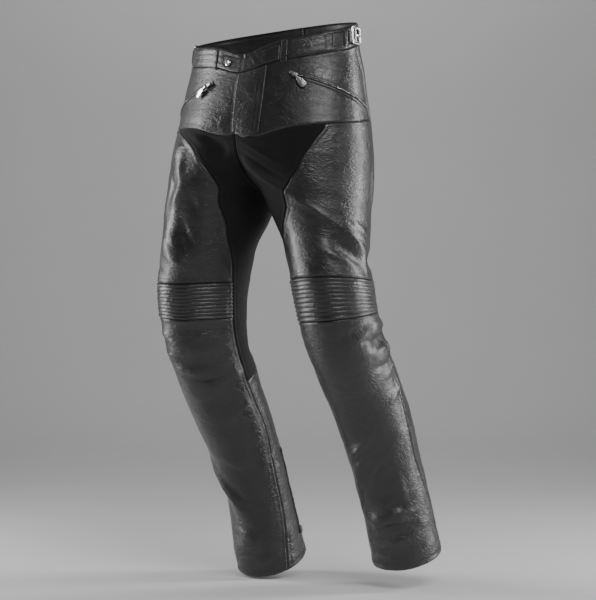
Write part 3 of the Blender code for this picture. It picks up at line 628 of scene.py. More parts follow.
def by_side(sides, drop, worked_out):
    """What a function of the side gives, where the side may vary from place to place."""
    on_left = np.broadcast_to(sides, np.shape(drop)) > 0
    return np.where(on_left[..., None], worked_out(1), worked_out(-1))


# How far off the folded surface a cover is looked for
REACH = 0.016


def on_cover(tree, sides, drop, turn):
    """Places on the outermost face and the folded surface's normals there."""
    drop, turn = (np.asarray(values, float) for values in np.broadcast_arrays(drop, turn))
    points = by_side(sides, drop, lambda side: folded_surface(side, drop, turn))
    normals = by_side(sides, drop, lambda side: crossed(side, folded_surface, drop, turn))
    flat, ways = points.reshape(-1, 3), normals.reshape(-1, 3)
    for k in range(len(flat)):
        way = Vector(ways[k])
        hit = tree.ray_cast(Vector(flat[k]) + way * REACH, -way, 2.0 * REACH)[0]
        if hit is not None:
            flat[k] = hit
    return flat.reshape(points.shape), normals


def edge_lines(size, edge):
    """Places across a piece from 0 to 1, closer together at both edges."""
    near = [0.0, 0.12 * edge / size, 0.4 * edge / size, edge / size]
    inner_count = max(2, int(round(size / 0.0030)))
    inner_lines = np.linspace(edge / size, 1.0 - edge / size, inner_count + 1)
    return np.array(near[:-1] + inner_lines.tolist() + [1.0 - part for part in reversed(near[:-1])])


def laid(name, tree, place, size, low, wall, edge=0.0011):
    """A piece laid on the shells with rounded edges: place(u, v) gives side, drop and turn."""
    u, v = np.meshgrid(edge_lines(size[0], edge), edge_lines(size[1], edge), indexing="ij")
    sides, drop, turn = place(u, v)
    base, normals = on_cover(tree, sides, drop, turn)
    away = np.minimum(np.minimum(u, 1.0 - u) * size[0], np.minimum(v, 1.0 - v) * size[1])
    rounded = np.sqrt(np.clip(1.0 - (1.0 - np.clip(away / edge, 0.0, 1.0)) ** 2, 0.0, 1.0))
    height = low + wall * (0.25 + 0.75 * rounded)
    top = base + normals * height[..., None]
    under = base + normals * (low - 0.0002)
    rows, lines = u.shape
    number = np.arange(rows * lines).reshape(rows, lines)
    quads = np.stack([number[:-1, :-1], number[:-1, 1:], number[1:, 1:], number[1:, :-1]], axis=-1)
    quads = quads.reshape(-1, 4)
    a, b, c = (top.reshape(-1, 3)[quads[:, k]] for k in (0, 1, 3))
    facing = (np.cross(b - a, c - a) * normals.reshape(-1, 3)[quads[:, 0]]).sum()
    if facing < 0.0:
        quads = quads[:, ::-1]
    total = rows * lines
    faces = quads.tolist() + (quads[:, ::-1] + total).tolist()
    border = [*number[0, :], *number[1:, -1], *number[-1, -2::-1], *number[-2:0:-1, 0]]
    for start, end in zip(border, border[1:] + border[:1]):
        rim = [start, end, end + total, start + total]
        faces.append(rim if facing > 0.0 else rim[::-1])
    mesh = bpy.data.meshes.new(name)
    mesh.from_pydata(np.concatenate([top.reshape(-1, 3), under.reshape(-1, 3)]).tolist(), [],
                     [[int(k) for k in face] for face in faces])
    mesh.shade_smooth()
    store_values(mesh, total, np.zeros(2 * total), np.exp(-away.reshape(-1) / 0.003))
    SHELLS[name] = (top.reshape(-1, 3), quads.tolist())
    return linked(name, mesh)


def beside_front(around, drop):
    """Side, drop and turn of a place given by degrees from the centre front, plus to the left."""
    return np.where(around >= 0.0, 1, -1), drop, middle_turn(drop) + np.abs(around)


def band_place(side, turns, heights):
    """Place on the waistband between two turns and two heights below its edge."""
    def place(u, v):
        turn = turns[0] + u * (turns[1] - turns[0])
        return side, waist_edge(turn) + heights[0] + v * (heights[1] - heights[0]), turn
    return place


def route_place(route, shift, part):
    """Turn and drop along a zip's route."""
    keys = np.linspace(0.0, 1.0, len(route))
    return tuple(blend_rows(part, keys, route[:, k]) + shift[k] for k in (0, 1))


GIRTH_OF_DEGREE = 0.0024


def zip_place(side, route, shift, width):
    """Place on a strip of even width along a zip's route."""
    def place(u, v):
        part = np.clip(u, 0.0, 1.0)
        ahead = route_place(route, shift, np.minimum(part + 0.02, 1.0))
        behind = route_place(route, shift, np.maximum(part - 0.02, 0.0))
        over, down = (ahead[0] - behind[0]) * GIRTH_OF_DEGREE, ahead[1] - behind[1]
        length = np.hypot(over, down)
        over, down = over / length, down / length
        turn, drop = route_place(route, shift, part)
        beyond, off = (u - part) * 0.1, (v - 0.5) * width
        return side, drop + down * beyond + over * off, turn + (over * beyond - down * off) / GIRTH_OF_DEGREE
    return place


# Stitches and teeth: many small things as one mesh
def smooth_line(points, normals, pitch):
    """Frames at even steps along a line of places."""
    steps = np.linalg.norm(np.diff(points, axis=0), axis=1)
    along = np.concatenate([[0.0], np.cumsum(steps)])
    count = max(2, int(along[-1] / pitch))
    at = (np.arange(count) + 0.5) * along[-1] / count
    middle = np.stack([np.interp(at, along, points[:, k]) for k in range(3)], axis=1)
    ahead = np.stack([np.interp(at + pitch / 2, along, points[:, k]) for k in range(3)], axis=1)
    behind = np.stack([np.interp(at - pitch / 2, along, points[:, k]) for k in range(3)], axis=1)
    out = np.stack([np.interp(at, along, normals[:, k]) for k in range(3)], axis=1)
    tangent = ahead - behind
    tangent /= np.maximum(np.linalg.norm(tangent, axis=1, keepdims=True), 1e-9)
    across = np.cross(out, tangent)
    across /= np.maximum(np.linalg.norm(across, axis=1, keepdims=True), 1e-9)
    out = np.cross(tangent, across)
    return middle, tangent, across, out


def stitch_template(length, radius, sides=6):
    """One stitch: a short round thread that dips at both ends."""
    rings = [(-0.5, 0.35, -0.6), (-0.34, 0.9, 0.25), (0.0, 1.0, 0.55), (0.34, 0.9, 0.25), (0.5, 0.35, -0.6)]
    places = []
    for along, wide, high in rings:
        for k in range(sides):
            angle = 2.0 * math.pi * k / sides
            places.append((along * length, math.cos(angle) * radius * wide,
                           high * radius + math.sin(angle) * radius * wide))
    faces = []
    for ring in range(len(rings) - 1):
        for k in range(sides):
            a, b = ring * sides + k, ring * sides + (k + 1) % sides
            faces.append((a, a + sides, b + sides, b))
    faces.append(tuple(range(sides)))
    faces.append(tuple((len(rings) - 1) * sides + k for k in reversed(range(sides))))
    return np.array(places), faces


def tooth_template(size, off):
    """One zip tooth: a small block with a rounded nose towards the middle."""
    length, width, height = size
    outline = [(-0.5, 0.0), (0.5, 0.0), (0.5, 0.6), (0.28, 1.0), (-0.28, 1.0), (-0.5, 0.6)]
    places = [(x * length, off + y * width, z) for z in (0.0, height) for x, y in outline]
    count = len(outline)
    faces = [tuple(reversed(range(count))), tuple(range(count, 2 * count))]
    faces += [(k, (k + 1) % count, (k + 1) % count + count, k + count) for k in range(count)]
    return np.array(places), faces


class Repeated:
    """Collects copies of a small shape and makes one mesh of them."""

    def __init__(self):
        self.places, self.faces, self.total = [], [], 0

    def add(self, template, frames, lift=0.0):
        """One copy of the template at each frame."""
        shape, faces = template
        middle, tangent, across, out = frames
        copies = (middle[:, None, :] + shape[None, :, 0:1] * tangent[:, None, :]
                  + shape[None, :, 1:2] * across[:, None, :] + (shape[None, :, 2:3] + lift) * out[:, None, :])
        self.places.append(copies.reshape(-1, 3))
        for k in range(len(middle)):
            start = self.total + k * len(shape)
            self.faces.extend([start + corner for corner in face] for face in faces)
        self.total += len(middle) * len(shape)

    def finish(self, name):
        """The joined mesh as an object."""
        mesh = bpy.data.meshes.new(name)
        mesh.from_pydata(np.concatenate(self.places).tolist(), [], self.faces)
        mesh.shade_smooth()
        return linked(name, mesh)


def moved(side, drop, turn, over, down):
    """Turn and drop of places moved over the surface, in metres, over towards a larger turn."""
    degree = np.linalg.norm(smooth_surface(side, drop, turn + 1.0) - smooth_surface(side, drop, turn), axis=-1)
    return drop + down, turn + over / degree


def across_line(side, row, first, last, down):
    """Line of places along a level of the grid, some way below it."""
    lines = (COLUMN_LINES >= first - 1e-6) & (COLUMN_LINES <= last + 1e-6)
    k = int(np.argmin(np.abs(ROW_LINES - row)))
    return moved(side, PLACES[side][1][k, lines], PLACES[side][0][k, lines], 0.0, down)


def down_line(side, index, first, last, over):
    """Line of places down a column of the grid, some way beside it."""
    lines = (ROW_LINES >= first - 1e-6) & (ROW_LINES <= last + 1e-6)
    k = int(np.argmin(np.abs(COLUMN_LINES - index)))
    return moved(side, PLACES[side][1][lines, k], PLACES[side][0][lines, k], over, 0.0)


STITCH = stitch_template(0.0027, 0.00042)
STITCH_PITCH = 0.0034
STITCH_LIFT = 0.00012


def sew(sewing, tree, side, line, pitch=STITCH_PITCH):
    """Stitches along a line of places."""
    drop, turn = line
    points, normals = on_cover(tree, side, drop, turn)
    sewing.add(STITCH, smooth_line(points, normals, pitch), STITCH_LIFT)


# Hard pieces, finer than the solids
def seat_matrix(side, drop, turn, heading, lift):
    """Frame on the surface: X along the heading (0 round to the outside, 90 down), Z outward."""
    point = Vector(folded_surface(side, drop, turn))
    out = Vector(crossed(side, folded_surface, np.array(float(drop)), np.array(float(turn))))
    down = Vector(folded_surface(side, drop + 0.01, turn)) - point
    down = (down - out * down.dot(out)).normalized()
    outside = down.cross(out) * side
    outside = -outside if (Vector(folded_surface(side, drop, turn + 3.0)) - point).dot(outside) < 0 else outside
    x_axis = (outside * math.cos(math.radians(heading)) + down * math.sin(math.radians(heading))).normalized()
    y_axis = out.cross(x_axis)
    turned = Matrix((x_axis, y_axis, out)).transposed().to_4x4()
    return Matrix.Translation(point + out * lift) @ turned


def hard_object(name, shapes, matrix):
    """One smooth object from several bmeshes, at a frame on the surface."""
    whole = bmesh.new()
    for shape in shapes:
        bmesh.ops.recalc_face_normals(shape, faces=shape.faces)
        part = bpy.data.meshes.new("part")
        shape.to_mesh(part)
        shape.free()
        whole.from_mesh(part)
        bpy.data.meshes.remove(part)
    whole.transform(matrix)
    mesh = bpy.data.meshes.new(name)
    whole.to_mesh(mesh)
    whole.free()
    mesh.shade_smooth()
    mesh.set_sharp_from_angle(angle=math.radians(38.0))
    return linked(name, mesh)


def plate(outline, low, high, rounding, hole=None):
    """A flat plate from an outline in X and Y, its edges rounded, with a hole ring if asked."""
    shape = bmesh.new()
    corners = [shape.verts.new((x, y, low)) for x, y in outline]
    rim = None
    if hole is not None:
        (hole_x, hole_y), hole_radius = hole
        rim = [shape.verts.new((hole_x + hole_radius * math.cos(math.tau * k / 20),
                                hole_y + hole_radius * math.sin(math.tau * k / 20), low)) for k in range(20)]
    loops = [[shape.edges.new((ring[k], ring[(k + 1) % len(ring)])) for k in range(len(ring))]
             for ring in (corners, rim) if ring]
    bmesh.ops.triangle_fill(shape, edges=[edge for loop in loops for edge in loop], use_beauty=True)
    grown = bmesh.ops.extrude_face_region(shape, geom=shape.faces[:])
    top = [part for part in grown["geom"] if isinstance(part, bmesh.types.BMVert)]
    bmesh.ops.translate(shape, vec=(0.0, 0.0, high - low), verts=top)
    bmesh.ops.dissolve_limit(shape, angle_limit=0.02, verts=shape.verts, edges=shape.edges)
    sharp = [edge for edge in shape.edges if len(edge.link_faces) == 2 and edge.calc_face_angle(0.0) > 0.9]
    bmesh.ops.bevel(shape, geom=sharp, offset=rounding, segments=3, profile=0.6, affect="EDGES")
    return shape


def turned_shape(profile, middle=(0.0, 0.0, 0.0), steps=40):
    """A turned piece: a profile of (radius, height) round the Z axis."""
    shape = bmesh.new()
    rings = []
    for radius, height in profile:
        if radius < 1e-7:
            rings.append([shape.verts.new((0.0, 0.0, height))])
            continue
        rings.append([shape.verts.new((radius * math.cos(math.tau * k / steps),
                                       radius * math.sin(math.tau * k / steps), height)) for k in range(steps)])
    for lower, upper in zip(rings, rings[1:]):
        for k in range(steps):
            corners = [lower[k % len(lower)], lower[(k + 1) % len(lower)],
                       upper[(k + 1) % len(upper)], upper[k % len(upper)]]
            shape.faces.new(list(dict.fromkeys(corners)))
    bmesh.ops.translate(shape, vec=middle, verts=shape.verts)
    return shape


def tube_ring(path, radius_across, radius_up, sides=12, closed=True):
    """A rod of oval section along a path in X and Y at given heights."""
    shape = bmesh.new()
    rings = []
    count = len(path)
    for k, place in enumerate(path):
        if closed:
            ahead, behind = Vector(path[(k + 1) % count]), Vector(path[k - 1])
        else:
            ahead, behind = Vector(path[min(k + 1, count - 1)]), Vector(path[max(k - 1, 0)])
        tangent = (ahead - behind).normalized()
        across = Vector((0.0, 0.0, 1.0)).cross(tangent)
        across = across.normalized() if across.length > 1e-6 else Vector((0.0, 1.0, 0.0))
        up = tangent.cross(across)
        rings.append([shape.verts.new(Vector(place) + across * radius_across * math.cos(math.tau * j / sides)
                                      + up * radius_up * math.sin(math.tau * j / sides)) for j in range(sides)])
    pairs = list(zip(rings, rings[1:])) + ([(rings[-1], rings[0])] if closed else [])
    for near, far in pairs:
        for j in range(sides):
            shape.faces.new((near[j], near[(j + 1) % sides], far[(j + 1) % sides], far[j]))
    if not closed:
        shape.faces.new(rings[0])
        shape.faces.new(reversed(rings[-1]))
    return shape


def arc(middle, radius, start, end, steps):
    """Points of an arc in X and Y, in degrees."""
    angles = [math.radians(start + (end - start) * k / steps) for k in range(steps + 1)]
    return [(middle[0] + radius * math.cos(angle), middle[1] + radius * math.sin(angle)) for angle in angles]


def rounded_box(half_x, half_y, radius, steps=6):
    """Outline of a rectangle with round corners."""
    outline = []
    for turn, sign_x, sign_y in ((0, 1, 1), (90, -1, 1), (180, -1, -1), (270, 1, -1)):
        outline += arc((sign_x * (half_x - radius), sign_y * (half_y - radius)), radius, turn, turn + 90, steps)
    return outline


SLIDER_TOP = LIFT + 0.0014 + 0.0005 + 0.0012 + 0.0004
PIVOT = (0.0046, 0.0, 0.0048)


def slider_shapes():
    """A zip slider: two plates with waisted sides, joined by a neck."""
    outline = (arc((0.0050, 0.0), 0.0040, -62, 62, 8) + [(0.0010, 0.0032), (-0.0030, 0.0030)]
               + arc((-0.0052, 0.0), 0.0030, 96, 264, 8) + [(-0.0030, -0.0030), (0.0010, -0.0032)])
    lower = plate(outline, 0.0, 0.0011, 0.0003)
    upper = plate([(x * 0.97, y * 0.94) for x, y in outline], 0.0016, 0.0027, 0.0004)
    neck = plate(rounded_box(0.0030, 0.0012, 0.0008), 0.0009, 0.0018, 0.0002)
    return [lower, upper, neck]


def pull_hinge_frame(side):
    """Frame of a pocket slider, the swing of its pull and the pull's own frame."""
    shift = ZIP_SHIFT[side]
    turn, drop = (float(value) for value in route_place(ZIPS, shift, 0.07))
    heading, hang = 30.0, {1: 52.0, -1: 40.0}[side]
    seat = seat_matrix(side, drop, turn, heading, SLIDER_TOP)
    swing = Matrix.Rotation(math.radians(heading - hang) * side, 4, "Z")
    lean_in = Matrix.Rotation(math.radians(9.0), 4, "Y")
    return seat, swing, seat @ swing @ Matrix.Translation(PIVOT) @ lean_in


def pocket_slider(side, word):
    """The pocket's slider with the two lugs that hold its pull."""
    seat, swing, _ = pull_hinge_frame(side)
    shapes = slider_shapes()
    for lug_side in (-1, 1):
        outline = [(-0.0017, -0.0022), *arc((0.0, 0.0004), 0.0017, 180, 0, 8), (0.0017, -0.0022)]
        lug = plate(outline, -0.0006, 0.0006, 0.00015)
        lug.transform(swing @ Matrix.Translation((0.0046, lug_side * 0.0030, 0.0044))
                      @ Matrix.Rotation(math.pi / 2, 4, "X"))
        shapes.append(lug)
    return hard_object(f"pocket_slider_{word}_finish", shapes, seat)


def pocket_pull(side, word):
    """The pull tab: a hinge barrel, a shank and a drop-shaped plate with a rivet."""
    _, _, hinge = pull_hinge_frame(side)
    barrel = turned_shape([(0.0, -0.0019), (0.0011, -0.0019), (0.0012, -0.0017), (0.0012, 0.0017),
                           (0.0011, 0.0019), (0.0, 0.0019)], steps=20)
    barrel.transform(Matrix.Rotation(math.pi / 2, 4, "X"))
    neck_outline = [(0.0004, -0.0016), (0.0100, -0.0015), (0.0100, 0.0015), (0.0004, 0.0016)]
    neck = plate(neck_outline, -0.0006, 0.0006, 0.0002)
    shoulder = [(0.0086, 0.0026), (0.0094, 0.0033), (0.0180, 0.0058)]
    far_shoulder = [(x, -y) for x, y in reversed(shoulder)]
    drop_outline = shoulder + arc((0.0240, 0.0), 0.0064, 100, -100, 26) + far_shoulder
    leaf = plate(drop_outline, -0.00065, 0.00065, 0.0003)
    raised_outline = [(0.0110, 0.0019), *arc((0.0238, 0.0), 0.0046, 96, -96, 22), (0.0110, -0.0019)]
    raised = plate(raised_outline, 0.0006, 0.0010, 0.0002)
    rivet_profile = [(0.0, 0.0019), (0.0012, 0.0018), (0.0020, 0.0014), (0.0023, 0.0009), (0.0023, 0.0004)]
    rivet = turned_shape(rivet_profile, (0.0240, 0.0, 0.0))
    return hard_object(f"pocket_pull_{word}_finish", [barrel, neck, leaf, raised, rivet], hinge)


def calf_slider(side, word):
    """The calf zip's slider with its bridge and no pull."""
    turn, drop = (float(value) for value in route_place(CALF_ZIP, (0.0, 0.0), 0.94))
    seat = seat_matrix(side, drop, turn, 78.0, LIFT + 0.0035)
    bridge = tube_ring([(-0.0042 + 0.0084 * t, 0.0, 0.0024 + 0.0020 * math.sin(math.pi * t) ** 0.6)
                        for t in np.linspace(0.0, 1.0, 14)], 0.0011, 0.0006, closed=False)
    return hard_object(f"calf_slider_{word}_finish", slider_shapes() + [bridge], seat)


def buckle(side, word):
    """A rounded square buckle with a middle bar and a prong."""
    seat = seat_matrix(side, 0.020, 181.0, 0.0, 0.0)
    level_z = 0.0048
    ring_path = [(x, y, level_z) for x, y in rounded_box(0.0144, 0.0154, 0.0045, 8)]
    ring = tube_ring(ring_path, 0.0021, 0.0015)
    inner_path = [(x, y, level_z + 0.0006) for x, y in rounded_box(0.0112, 0.0122, 0.0030, 6)]
    inner_ring = tube_ring(inner_path, 0.0007, 0.0006)
    bar_path = [(-0.0020, y, level_z) for y in np.linspace(-0.0140, 0.0140, 9)]
    bar = tube_ring(bar_path, 0.0013, 0.0012, closed=False)
    prong = tube_ring([(-0.0026 + 0.0178 * t, 0.0, level_z + 0.0013 + 0.0008 * math.sin(math.pi * t))
                       for t in np.linspace(0.0, 1.0, 14)], 0.0013, 0.0009, closed=False)
    return hard_object(f"buckle_{word}_finish", [ring, inner_ring, bar, prong], seat)


def snap_button():
    """The turned snap on the waist tab."""
    turn, middle = 100.5, 0.024
    seat = seat_matrix(-1, float(waist_edge(turn)) + middle, turn, 0.0, LIFT + 0.0026)
    profile = [(0.0, 0.0016), (0.0020, 0.0017), (0.0030, 0.0019), (0.0034, 0.0025),
               (0.0041, 0.0026), (0.0046, 0.0021), (0.0054, 0.0017), (0.0061, 0.0016),
               (0.0066, 0.0011), (0.0067, 0.0004), (0.0064, -0.0002), (0.0, -0.0002)]
    return hard_object("snap_button_finish", [turned_shape(profile, steps=56)], seat)


# Materials
class Nodes:
    """Builds one material's nodes."""

    def __init__(self, name):
        self.material = bpy.data.materials.new(name)
        self.material.use_nodes = True
        self.tree = self.material.node_tree
        self.shader = self.tree.nodes["Principled BSDF"]
        self.place = self.add("ShaderNodeTexCoord").outputs["Object"]

    def add(self, kind, **settings):
        """A node with the given properties."""
        node = self.tree.nodes.new(kind)
        for key, value in settings.items():
            setattr(node, key, value)
        return node

    def link(self, source, target):
        """Joins two sockets."""
        self.tree.links.new(source, target)

    def set(self, **values):
        """Numbers and colours on the shader's own sockets."""
        for key, value in values.items():
            self.shader.inputs[key.replace("_", " ")].default_value = value

    def attribute(self, name):
        """A value stored on the mesh."""
        return self.add("ShaderNodeAttribute", attribute_name=name).outputs["Fac"]

    def stretched(self, scale, turn=(0.0, 0.0, 0.0)):
        """The object's coordinates, scaled and turned."""
        mapping = self.add("ShaderNodeMapping")
        mapping.inputs["Scale"].default_value = scale
        mapping.inputs["Rotation"].default_value = [math.radians(angle) for angle in turn]
        self.link(self.place, mapping.inputs["Vector"])
        return mapping.outputs["Vector"]

    def noise(self, scale, detail=2.0, roughness=0.5, vector=None, distortion=0.0):
        """Cloudy noise."""
        node = self.add("ShaderNodeTexNoise")
        node.inputs["Scale"].default_value = scale
        node.inputs["Detail"].default_value = detail
        node.inputs["Roughness"].default_value = roughness
        node.inputs["Distortion"].default_value = distortion
        self.link(vector or self.place, node.inputs["Vector"])
        return node.outputs["Fac"]

    def cells(self, scale, vector=None, feature="F1"):
        """Pebbled cells."""
        node = self.add("ShaderNodeTexVoronoi", feature=feature)
        node.inputs["Scale"].default_value = scale
        self.link(vector or self.place, node.inputs["Vector"])
        return node.outputs["Distance"]

    def ramp(self, source, low, high, to_low=0.0, to_high=1.0):
        """A value carried from one range to another."""
        node = self.add("ShaderNodeMapRange", interpolation_type="SMOOTHSTEP")
        for key, value in (("From Min", low), ("From Max", high), ("To Min", to_low), ("To Max", to_high)):
            node.inputs[key].default_value = value
        self.link(source, node.inputs["Value"])
        return node.outputs["Result"]

    def calculate(self, kind, first, second):
        """Two values added, multiplied and so on."""
        node = self.add("ShaderNodeMath", operation=kind)
        for k, value in enumerate((first, second)):
            if isinstance(value, (int, float)):
                node.inputs[k].default_value = value
            else:
                self.link(value, node.inputs[k])
        return node.outputs["Value"]

    def colours(self, factor, low, high):
        """A colour between two, by a value."""
        node = self.add("ShaderNodeMix", data_type="RGBA")
        node.inputs["A"].default_value = (*low, 1.0)
        node.inputs["B"].default_value = (*high, 1.0)
        self.link(factor, node.inputs["Factor"])
        return node.outputs["Result"]

    def bump(self, height, depth, strength, under=None):
        """Fine relief, on top of another."""
        node = self.add("ShaderNodeBump")
        node.inputs["Strength"].default_value = strength
        node.inputs["Distance"].default_value = depth
        self.link(height, node.inputs["Height"])
        if under is not None:
            self.link(under, node.inputs["Normal"])
        return node.outputs["Normal"]


def leather_material(name, tone, gloss):
    """Black leather: pebbled grain, fine creases, worn edges and an uneven sheen."""
    nodes = Nodes(name)
    nodes.set(Specular_IOR_Level=0.55, Coat_Weight=0.22, Coat_Roughness=0.30)
    clouds = nodes.noise(14.0, 3.0, 0.55)
    blotches = nodes.noise(60.0, 3.0, 0.6)
    seam = nodes.attribute("beside_seam")
    raised = nodes.attribute("raised")
    inside = nodes.attribute("inside")
    worn = nodes.calculate("ADD", nodes.ramp(raised, 0.05, 0.9, 0.0, 0.55),
                           nodes.ramp(seam, 0.25, 0.7, 0.0, 0.25))
    tint = nodes.calculate("ADD", nodes.calculate("MULTIPLY", clouds, 0.5),
                           nodes.calculate("MULTIPLY", worn, 0.6))
    outer = nodes.colours(tint, tuple(0.65 * part for part in tone), tuple(1.55 * part for part in tone))
    mixed = nodes.add("ShaderNodeMix", data_type="RGBA")
    nodes.link(inside, mixed.inputs["Factor"])
    nodes.link(outer, mixed.inputs["A"])
    mixed.inputs["B"].default_value = (0.010, 0.010, 0.011, 1.0)
    nodes.link(mixed.outputs["Result"], nodes.shader.inputs["Base Color"])
    shine = nodes.calculate("ADD", nodes.ramp(clouds, 0.3, 0.7, gloss - 0.07, gloss + 0.08),
                            nodes.ramp(blotches, 0.35, 0.7, -0.04, 0.06))
    shine = nodes.calculate("SUBTRACT", shine, nodes.calculate("MULTIPLY", worn, 0.05))
    shine = nodes.calculate("ADD", shine, nodes.calculate("MULTIPLY", inside, 0.40))
    nodes.link(shine, nodes.shader.inputs["Roughness"])
    grain = nodes.cells(620.0, nodes.stretched((1.0, 1.0, 0.8)), "SMOOTH_F1")
    pores = nodes.noise(900.0, 2.0, 0.6)
    wrinkles = nodes.noise(95.0, 4.0, 0.62, nodes.stretched((1.0, 1.0, 2.1), (12.0, 8.0, 0.0)), 0.8)
    folds = nodes.calculate("ABSOLUTE", nodes.calculate("SUBTRACT", nodes.noise(46.0, 3.0, 0.55,
                            nodes.stretched((0.9, 0.9, 1.7), (-9.0, 14.0, 0.0)), 1.2), 0.5), 0.0)
    normal = nodes.bump(nodes.ramp(folds, 0.0, 0.16), 0.0011, 0.40)
    normal = nodes.bump(wrinkles, 0.0016, 0.42, normal)
    normal = nodes.bump(grain, 0.00045, 0.38, normal)
    normal = nodes.bump(pores, 0.00016, 0.30, normal)
    nodes.link(normal, nodes.shader.inputs["Normal"])
    return nodes.material


def stretch_material():
    """Matte ribbed stretch cloth."""
    nodes = Nodes("stretch_cloth")
    nodes.set(Specular_IOR_Level=0.22, Sheen_Weight=0.30, Sheen_Roughness=0.42,
              Sheen_Tint=(0.30, 0.30, 0.32, 1.0))
    clouds = nodes.noise(26.0, 4.0, 0.6)
    seam = nodes.attribute("beside_seam")
    tint = nodes.calculate("ADD", clouds, nodes.calculate("MULTIPLY", seam, 0.2))
    colour = nodes.colours(tint, (0.0055, 0.0055, 0.006), (0.013, 0.013, 0.0135))
    nodes.link(colour, nodes.shader.inputs["Base Color"])
    nodes.link(nodes.ramp(clouds, 0.3, 0.7, 0.80, 0.95), nodes.shader.inputs["Roughness"])
    across = nodes.add("ShaderNodeTexWave", bands_direction="Z")
    across.inputs["Scale"].default_value = 210.0
    across.inputs["Distortion"].default_value = 1.2
    nodes.link(nodes.place, across.inputs["Vector"])
    knit = nodes.cells(1100.0)
    normal = nodes.bump(across.outputs["Fac"], 0.0006, 0.5)
    normal = nodes.bump(knit, 0.0003, 0.5, normal)
    normal = nodes.bump(nodes.noise(60.0, 3.0, 0.6, nodes.stretched((1.0, 1.0, 1.8))), 0.0018, 0.35, normal)
    nodes.link(normal, nodes.shader.inputs["Normal"])
    return nodes.material


def tape_material():
    """Woven zip tape."""
    nodes = Nodes("woven_tape")
    nodes.set(Specular_IOR_Level=0.25, Sheen_Weight=0.2, Sheen_Roughness=0.5)
    weave = nodes.cells(1500.0)
    nodes.link(nodes.colours(nodes.noise(300.0), (0.006, 0.006, 0.0065), (0.014, 0.014, 0.015)),
               nodes.shader.inputs["Base Color"])
    nodes.link(nodes.ramp(weave, 0.0, 0.8, 0.75, 0.9), nodes.shader.inputs["Roughness"])
    nodes.link(nodes.bump(weave, 0.0003, 0.6), nodes.shader.inputs["Normal"])
    return nodes.material


def thread_material():
    """Twisted sewing thread, a little lighter than the leather."""
    nodes = Nodes("thread")
    nodes.set(Specular_IOR_Level=0.4, Sheen_Weight=0.25, Sheen_Roughness=0.4)
    nodes.link(nodes.colours(nodes.noise(180.0), (0.022, 0.022, 0.023), (0.060, 0.060, 0.062)),
               nodes.shader.inputs["Base Color"])
    nodes.link(nodes.ramp(nodes.noise(900.0), 0.3, 0.7, 0.45, 0.62), nodes.shader.inputs["Roughness"])
    nodes.link(nodes.bump(nodes.noise(2200.0), 0.0001, 0.4), nodes.shader.inputs["Normal"])
    return nodes.material


def metal_material(name, dark, bright, rough):
    """Metal with faint scratches and a cloudy, uneven tone and dullness."""
    nodes = Nodes(name)
    nodes.set(Metallic=1.0)
    clouds = nodes.noise(240.0, 4.0, 0.6)
    nodes.link(nodes.colours(clouds, dark, bright), nodes.shader.inputs["Base Color"])
    nodes.link(nodes.ramp(clouds, 0.3, 0.7, rough - 0.05, rough + 0.10), nodes.shader.inputs["Roughness"])
    scratches = nodes.noise(700.0, 3.0, 0.6, nodes.stretched((1.0, 1.0, 14.0), (30.0, 20.0, 0.0)))
    nodes.link(nodes.bump(scratches, 0.00012, 0.25), nodes.shader.inputs["Normal"])
    return nodes.material


def floor_material():
    """Plain pale studio paper."""
    nodes = Nodes("studio_paper")
    nodes.set(Specular_IOR_Level=0.15)
    nodes.link(nodes.colours(nodes.noise(3.0, 2.0), (0.60, 0.60, 0.60), (0.63, 0.63, 0.63)),
               nodes.shader.inputs["Base Color"])
    nodes.link(nodes.ramp(nodes.noise(40.0), 0.3, 0.7, 0.85, 0.95), nodes.shader.inputs["Roughness"])
    return nodes.material


LEATHER_SKIN = leather_material("panel_leather", (0.016, 0.016, 0.0165), 0.40)
TRIM_SKIN = leather_material("trim_leather", (0.017, 0.017, 0.0175), 0.42)
STRETCH_SKIN = stretch_material()
TAPE_SKIN = tape_material()
THREAD_SKIN = thread_material()
POLISHED = metal_material("polished_metal", (0.55, 0.55, 0.56), (0.85, 0.85, 0.86), 0.16)
ZIP_METAL = metal_material("zip_metal", (0.30, 0.30, 0.31), (0.62, 0.62, 0.62), 0.26)


def dress(thing, material, node, body="root"):
    """Gives a piece its material and slot, attaches it to a body and hides the solid it stands for."""
    thing.data.materials.clear()
    thing.data.materials.append(material)
    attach(thing, body)
    if node:
        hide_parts(node)
    return thing


def make_shells():
    """The cut pieces of both halves."""
    for word, side in (("left", 1), ("right", -1)):
        cuts = [
            ("waistband_front", [("inner", "waist", "band"), ("front", "waist", "band")], "leather"),
            ("waistband_back", [("rear", "waist", "band"), ("seat", "waist", "band")], "leather"),
            ("front_yoke", [("inner", "band", "yoke"), ("front", "band", "yoke")], "leather"),
            ("front_thigh", [("front", "yoke", "knee_top")], "leather"),
            ("knee_ribs", [("front", "knee_top", "knee_bottom")], "leather"),
            ("shin", [("front", "knee_bottom", "hem")], "leather"),
            ("gusset", [("inner", "yoke", "calf"), ("seat", "seat", "calf")], "stretch"),
            ("back", [("rear", "band", "hem"), ("seat", "band", "seat"), ("seat", "calf", "hem"),
                      ("inner", "calf", "hem")], "leather"),
        ]
        for stem, blocks, cloth in cuts:
            name = f"{stem}_{word}"
            thing = shell(name, side, blocks, cloth, ribbed=stem == "knee_ribs")
            if cloth == "stretch":
                dress(thing, STRETCH_SKIN, name)
            else:
                dress(thing, LEATHER_SKIN, name)


# How far laid pieces and belt loops start above what they lie on
LAID_LOW, LOOP_LOW = 0.0001, 0.0004


